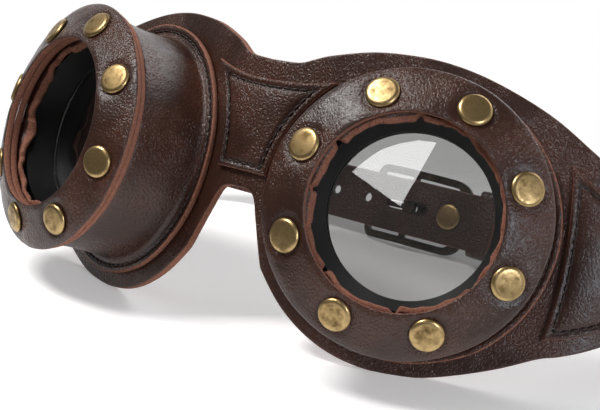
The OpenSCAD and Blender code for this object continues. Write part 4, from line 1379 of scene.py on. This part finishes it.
class GOGGLES_OT_rivets(bpy.types.Operator):
    """Set the double-cap rivets in the rings, the temples and the strap's fold"""

    bl_idname = "goggles.rivets"
    bl_label = "Rivets"

    def execute(self, context):
        form = Form(context)
        seams = context.scene.goggle_seams
        # The flat back caps seat on their rims under the tabs' cone
        tabs_end, lean = form.tabs_at + form.wall_t, math.sin(form.slope)
        seat = lean * (2 * form.back_cap_r) ** 2 / (8 * (form.rivet_circle_r - tabs_end * lean))
        ring_stack = tabs_end + seat
        temple_stack = form.mask_t + form.gap + form.strap_t
        for i, (name, side) in enumerate(SIDES):
            self.set_row(form, seams, f"ring_rivets_{name}", form.rivet_places(side), ring_stack,
                         3 + i)
            self.set_row(form, seams, f"temple_rivets_{name}", form.temple_places(side),
                         temple_stack, 11 + i)
        fold_y = form.loop_depth - form.bar_fold - form.strap_t
        fold = [(Vector((form.fold_rivet_x, fold_y, form.strap_z)), Vector((0, -1, 0)))]
        self.set_row(form, seams, "fold_rivet", fold, 2 * form.strap_t + form.gap, 21)
        return {"FINISHED"}

    def blank(self, form, seams, stack):
        """A double-cap rivet, with its leather face at z = 0 and the stack below it."""
        g, r, h = form.gap, seams.rivet / MM / 2, seams.dome / MM
        # A nearly flat top, a shoulder rounded over the last quarter, and a thin edge below it
        flat_r, sag, rim_h, hub_r = r * 0.72, 0.14, 0.2, 0.02
        line = [(hub_r, g + h)]
        line += [(flat_r * k / 6, g + h - sag * (k / 6) ** 2) for k in range(1, 7)]
        for a in map(math.radians, (14, 28, 42, 56, 70, 82, 90)):
            line.append((flat_r + (r - flat_r) * math.sin(a),
                         g + rim_h + (h - sag - rim_h) * math.cos(a)))
        # The post, and the thin back cap under the stack
        post_r, rear, low = 1.5, form.back_cap_r, -stack - g
        line += [(r - 0.06, g + 0.05), (r - 0.25, g), (post_r, g), (post_r, low), (rear - 0.1, low),
                 (rear, low - 0.15), (rear - 0.25, low - 0.5), (rear - 1, low - 0.82),
                 (rear * 0.4, low - form.back_cap_h), (hub_r, low - form.back_cap_h)]
        # Brass ages most at the rim and on the back, and least on top of the dome
        aged = [0.3 if z <= 0 else 0.45 if z < g + 0.45 else 0.1 if x < flat_r * 0.95 else 0.0
                for x, z in line]
        turns, m = 48, len(line)
        rows = [[spun(MM * x, 2 * math.pi * j / turns, MM * z) for x, z in line]
                for j in range(turns)]
        verts, faces = net(rows, round_columns=False)
        faces += [tuple(j * m for j in range(turns)),
                  tuple(j * m + m - 1 for j in reversed(range(turns)))]
        mesh = bpy.data.meshes.new("rivet_blank")
        mesh.from_pydata(verts, [], faces)
        mark(mesh, "rim", aged * turns)
        return linked("rivet_blank", smoothed(mesh))

    def set_row(self, form, seams, node, places, stack, seed):
        """Sets one rivet at each place."""
        blank = self.blank(form, seams, stack)
        row = path_piece(form, node + "_brass", [[place] for place in places], (node,), "brass")
        grow(row, rivet_tree(), {"Rivet": blank, "Seed": seed, "Material": antique_brass()})
        settle(row)
        bpy.data.objects.remove(blank)


class GOGGLES_OT_seams(bpy.types.Operator):
    """Sew the flanges and the patches to the mask"""

    bl_idname = "goggles.seams"
    bl_label = "Seams"

    def execute(self, context):
        form = Form(context)
        seams = context.scene.goggle_seams
        # The thread lies this far under the leather's face, in its groove
        sunk = 0.42
        paths = []
        for _, side in SIDES:
            cup = form.cup(side)
            up = cup.to_3x3() @ Vector((0, 0, 1))
            paths.append([(cup @ Vector(spun(form.flange_seam_r, a, form.foot_h - sunk)), up)
                          for a in (2 * math.pi * k / 180 for k in range(180))])
        depth = -form.gap - form.patch_t + sunk
        for grid in (bridge_grid(form), temple_grid(form, -1), temple_grid(form, 1)):
            paths.append(inset_path(form, grid, seams.inset / MM, depth))
        thread = path_piece(form, "seam_thread", paths)
        grow(thread, seam_tree(), {"Pitch": seams.pitch, "Length": seams.stitch,
                                   "Thread": seams.thread, "Material": waxed_thread()})
        settle(thread)
        return {"FINISHED"}


# Studio
class GOGGLES_OT_studio(bpy.types.Operator):
    """Set up the pale studio: floor, soft lamps and the camera"""

    bl_idname = "goggles.studio"
    bl_label = "Studio"

    def execute(self, context):
        scene, form = context.scene, Form(context)
        scene.view_settings.view_transform = "Standard"
        eye = self.set_camera(scene, form)
        self.hang_panel(form, eye)
        self.lay_floor(scene.goggle_colours)
        self.light_world(scene)
        self.place_lamps()
        return {"FINISHED"}

    def set_camera(self, scene, form):
        """The camera, placed in the worn frame where the photograph was taken from."""
        data = bpy.data.cameras.new("camera")
        data.lens, data.sensor_width = 89.47, 36
        camera = linked("camera", data)
        yaw, pitch, roll = (math.radians(a) for a in (31.82, 1.24, 15.73))
        eye = form.rest @ Vector((232.4, -356.1, -13.2))
        turn = form.rest.to_3x3().to_4x4() @ (
            Matrix.Rotation(yaw, 4, "Z") @ Matrix.Rotation(math.pi / 2 + pitch, 4, "X")
            @ Matrix.Rotation(roll, 4, "Z"))
        camera.matrix_world = Matrix.Translation(eye * MM) @ turn
        scene.camera = camera
        return eye

    def hang_panel(self, form, eye):
        """A softbox's panel in front, where the right lens mirrors it as a bright wedge."""
        cup = form.rest @ form.cup(1)
        facing = (cup.to_3x3() @ Vector((0, 0, 1))).normalized()
        lens_depth, distance = 15.75, 330
        # Places on the lens, in millimetres from its middle, where the panel's corners show
        wedge = ((-3.1, 1.8), (-17.7, 7.1), (-15.2, 10.8), (-12.1, 14.4), (-7.7, 17.4),
                 (-3.2, 19.4), (1.5, 20.1))
        corners = []
        for x, y in wedge:
            spot = cup @ Vector((x, y, form.cup_depth - lens_depth))
            ray = (spot - eye).normalized()
            corners.append((spot + (ray - 2 * ray.dot(facing) * facing) * distance) * MM)
        mesh = bpy.data.meshes.new("panel")
        mesh.from_pydata(corners, [], [tuple(range(len(corners)))])
        panel = linked("panel", mesh)
        for kind in ("camera", "diffuse", "transmission", "shadow", "volume_scatter"):
            setattr(panel, "visible_" + kind, False)

        def lit(tree):
            return add(tree, "ShaderNodeEmission", {"Strength": 12.0})

        mesh.materials.append(finish_of("softbox_panel", lit))

    def lay_floor(self, hue):
        """Pale seamless paper, which fades into the white world away from the goggles."""
        work = bmesh.new()
        bmesh.ops.create_circle(work, cap_ends=True, segments=96, radius=1.6)
        mesh = bpy.data.meshes.new("floor")
        work.to_mesh(mesh)
        work.free()
        floor = linked("floor", mesh)
        floor.location.z = -0.1 * MM

        def paper(tree):
            spot = add(tree, "ShaderNodeTexCoord").outputs["Object"]
            away = add(tree, "ShaderNodeVectorMath", {0: spot}, operation="LENGTH")
            fade = add(tree, "ShaderNodeMapRange",
                       {"Value": away, "From Min": 0.1, "From Max": 0.24},
                       interpolation_type="SMOOTHSTEP")
            # The camera, glass and gloss see the paper paler than the lamps alone make it
            seen = add(tree, "ShaderNodeLightPath").outputs
            shown = add(tree, "ShaderNodeMath",
                        {0: seen["Is Camera Ray"], 1: seen["Is Transmission Ray"]},
                        operation="MAXIMUM")
            shown = add(tree, "ShaderNodeMath", {0: shown, 1: seen["Is Glossy Ray"]},
                        operation="MAXIMUM")
            glow = add(tree, "ShaderNodeMath", {0: shown, 1: 0.28}, operation="MULTIPLY")
            base = add(tree, "ShaderNodeBsdfDiffuse", {"Color": hue.floor})
            light = add(tree, "ShaderNodeEmission", {"Strength": glow})
            both = add(tree, "ShaderNodeAddShader", {0: base, 1: light})
            clear = add(tree, "ShaderNodeBsdfTransparent")
            return add(tree, "ShaderNodeMixShader", {"Fac": fade, 1: both, 2: clear})

        mesh.materials.append(finish_of("seamless_paper", paper))

    def light_world(self, scene):
        """A world that is white all round for the camera and through glass. Gloss mirrors a white
        backdrop behind the goggles and a dim room overhead and in front. The fill is dim."""
        world = bpy.data.worlds.new("studio")
        world.use_nodes = True
        tree = world.node_tree
        tree.nodes.clear()
        fill, room, backdrop = 0.24, 0.08, 1.0
        seen = add(tree, "ShaderNodeLightPath").outputs
        shown = add(tree, "ShaderNodeMath",
                    {0: seen["Is Camera Ray"], 1: seen["Is Transmission Ray"]}, operation="MAXIMUM")
        way = add(tree, "ShaderNodeSeparateXYZ",
                  {0: add(tree, "ShaderNodeTexCoord").outputs["Generated"]}).outputs
        behind = add(tree, "ShaderNodeMapRange",
                     {"Value": way["Y"], "From Min": -0.1, "From Max": 0.6},
                     interpolation_type="SMOOTHSTEP")
        low = add(tree, "ShaderNodeMapRange",
                  {"Value": way["Z"], "From Min": 0.45, "From Max": 0.85, "To Min": 1.0,
                   "To Max": 0.0}, interpolation_type="SMOOTHSTEP")
        drop = add(tree, "ShaderNodeMath", {0: behind, 1: low}, operation="MULTIPLY")
        mirrored = add(tree, "ShaderNodeMapRange",
                       {"Value": drop, "To Min": room, "To Max": backdrop})
        level = add(tree, "ShaderNodeMix",
                    {"Factor": seen["Is Glossy Ray"], "A": fill, "B": mirrored}, data_type="FLOAT")
        level = add(tree, "ShaderNodeMath", {0: level, 1: shown}, operation="MAXIMUM")
        back = add(tree, "ShaderNodeBackground", {"Color": (1, 1, 1, 1), "Strength": level})
        add(tree, "ShaderNodeOutputWorld", {"Surface": back})
        scene.world = world

    def place_lamps(self):
        """A softbox above the left shoulder, a cool strip at the right and a weak one behind."""
        lamps = (
            ("key_softbox", (-0.3, -0.37, 0.72), (0, 0, 0.03), (0.26, 0.24), 5.4, (1, 0.99, 0.97)),
            ("right_strip", (0.76, -0.38, 0.24), (0, 0, 0.04), (0.15, 0.34), 2.7, (0.87, 0.92, 1)),
            ("back_softbox", (0.1, 0.55, 0.55), (0, 0, 0.04), (0.6, 0.3), 1.9, (0.97, 0.98, 1)))
        for name, place, aim, (size, size_y), watts, tint in lamps:
            lamp = bpy.data.lights.new(name, "AREA")
            lamp.shape, lamp.size, lamp.size_y = "RECTANGLE", size, size_y
            lamp.energy, lamp.color = watts, tint
            towards = (Vector(aim) - Vector(place)).to_track_quat("-Z", "Y")
            linked(name, lamp).matrix_world = (
                Matrix.Translation(place) @ towards.to_matrix().to_4x4())


STEPS = (GOGGLES_OT_studio, GOGGLES_OT_mask, GOGGLES_OT_patches, GOGGLES_OT_cup_walls,
         GOGGLES_OT_rings, GOGGLES_OT_lenses, GOGGLES_OT_straps, GOGGLES_OT_keeper,
         GOGGLES_OT_buckle, GOGGLES_OT_rivets, GOGGLES_OT_seams)


class GOGGLES_PT_panel(bpy.types.Panel):
    """Lists the pieces of the goggles and their settings"""

    bl_idname = "GOGGLES_PT_panel"
    bl_label = "Goggles"
    bl_space_type = "VIEW_3D"
    bl_region_type = "UI"
    bl_category = "Goggles"

    def draw(self, context):
        for step in STEPS:
            self.layout.operator(step.bl_idname)
        for group in (context.scene.goggle_form, context.scene.goggle_seams,
                      context.scene.goggle_colours):
            box = self.layout.box()
            for key in group.__annotations__:
                box.prop(group, key)


CLASSES = (GoggleForm, GoggleSeams, GoggleColours, *STEPS, GOGGLES_PT_panel)


def register():
    for kind in CLASSES:
        bpy.utils.register_class(kind)
    bpy.types.Scene.goggle_form = bpy.props.PointerProperty(type=GoggleForm)
    bpy.types.Scene.goggle_seams = bpy.props.PointerProperty(type=GoggleSeams)
    bpy.types.Scene.goggle_colours = bpy.props.PointerProperty(type=GoggleColours)


def unregister():
    del bpy.types.Scene.goggle_colours, bpy.types.Scene.goggle_seams, bpy.types.Scene.goggle_form
    for kind in reversed(CLASSES):
        bpy.utils.unregister_class(kind)


def main():
    """Registers the add-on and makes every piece."""
    register()
    for step in STEPS:
        group, action = step.bl_idname.split(".")
        getattr(getattr(bpy.ops, group), action)()


if __name__ == "__main__":
    main()
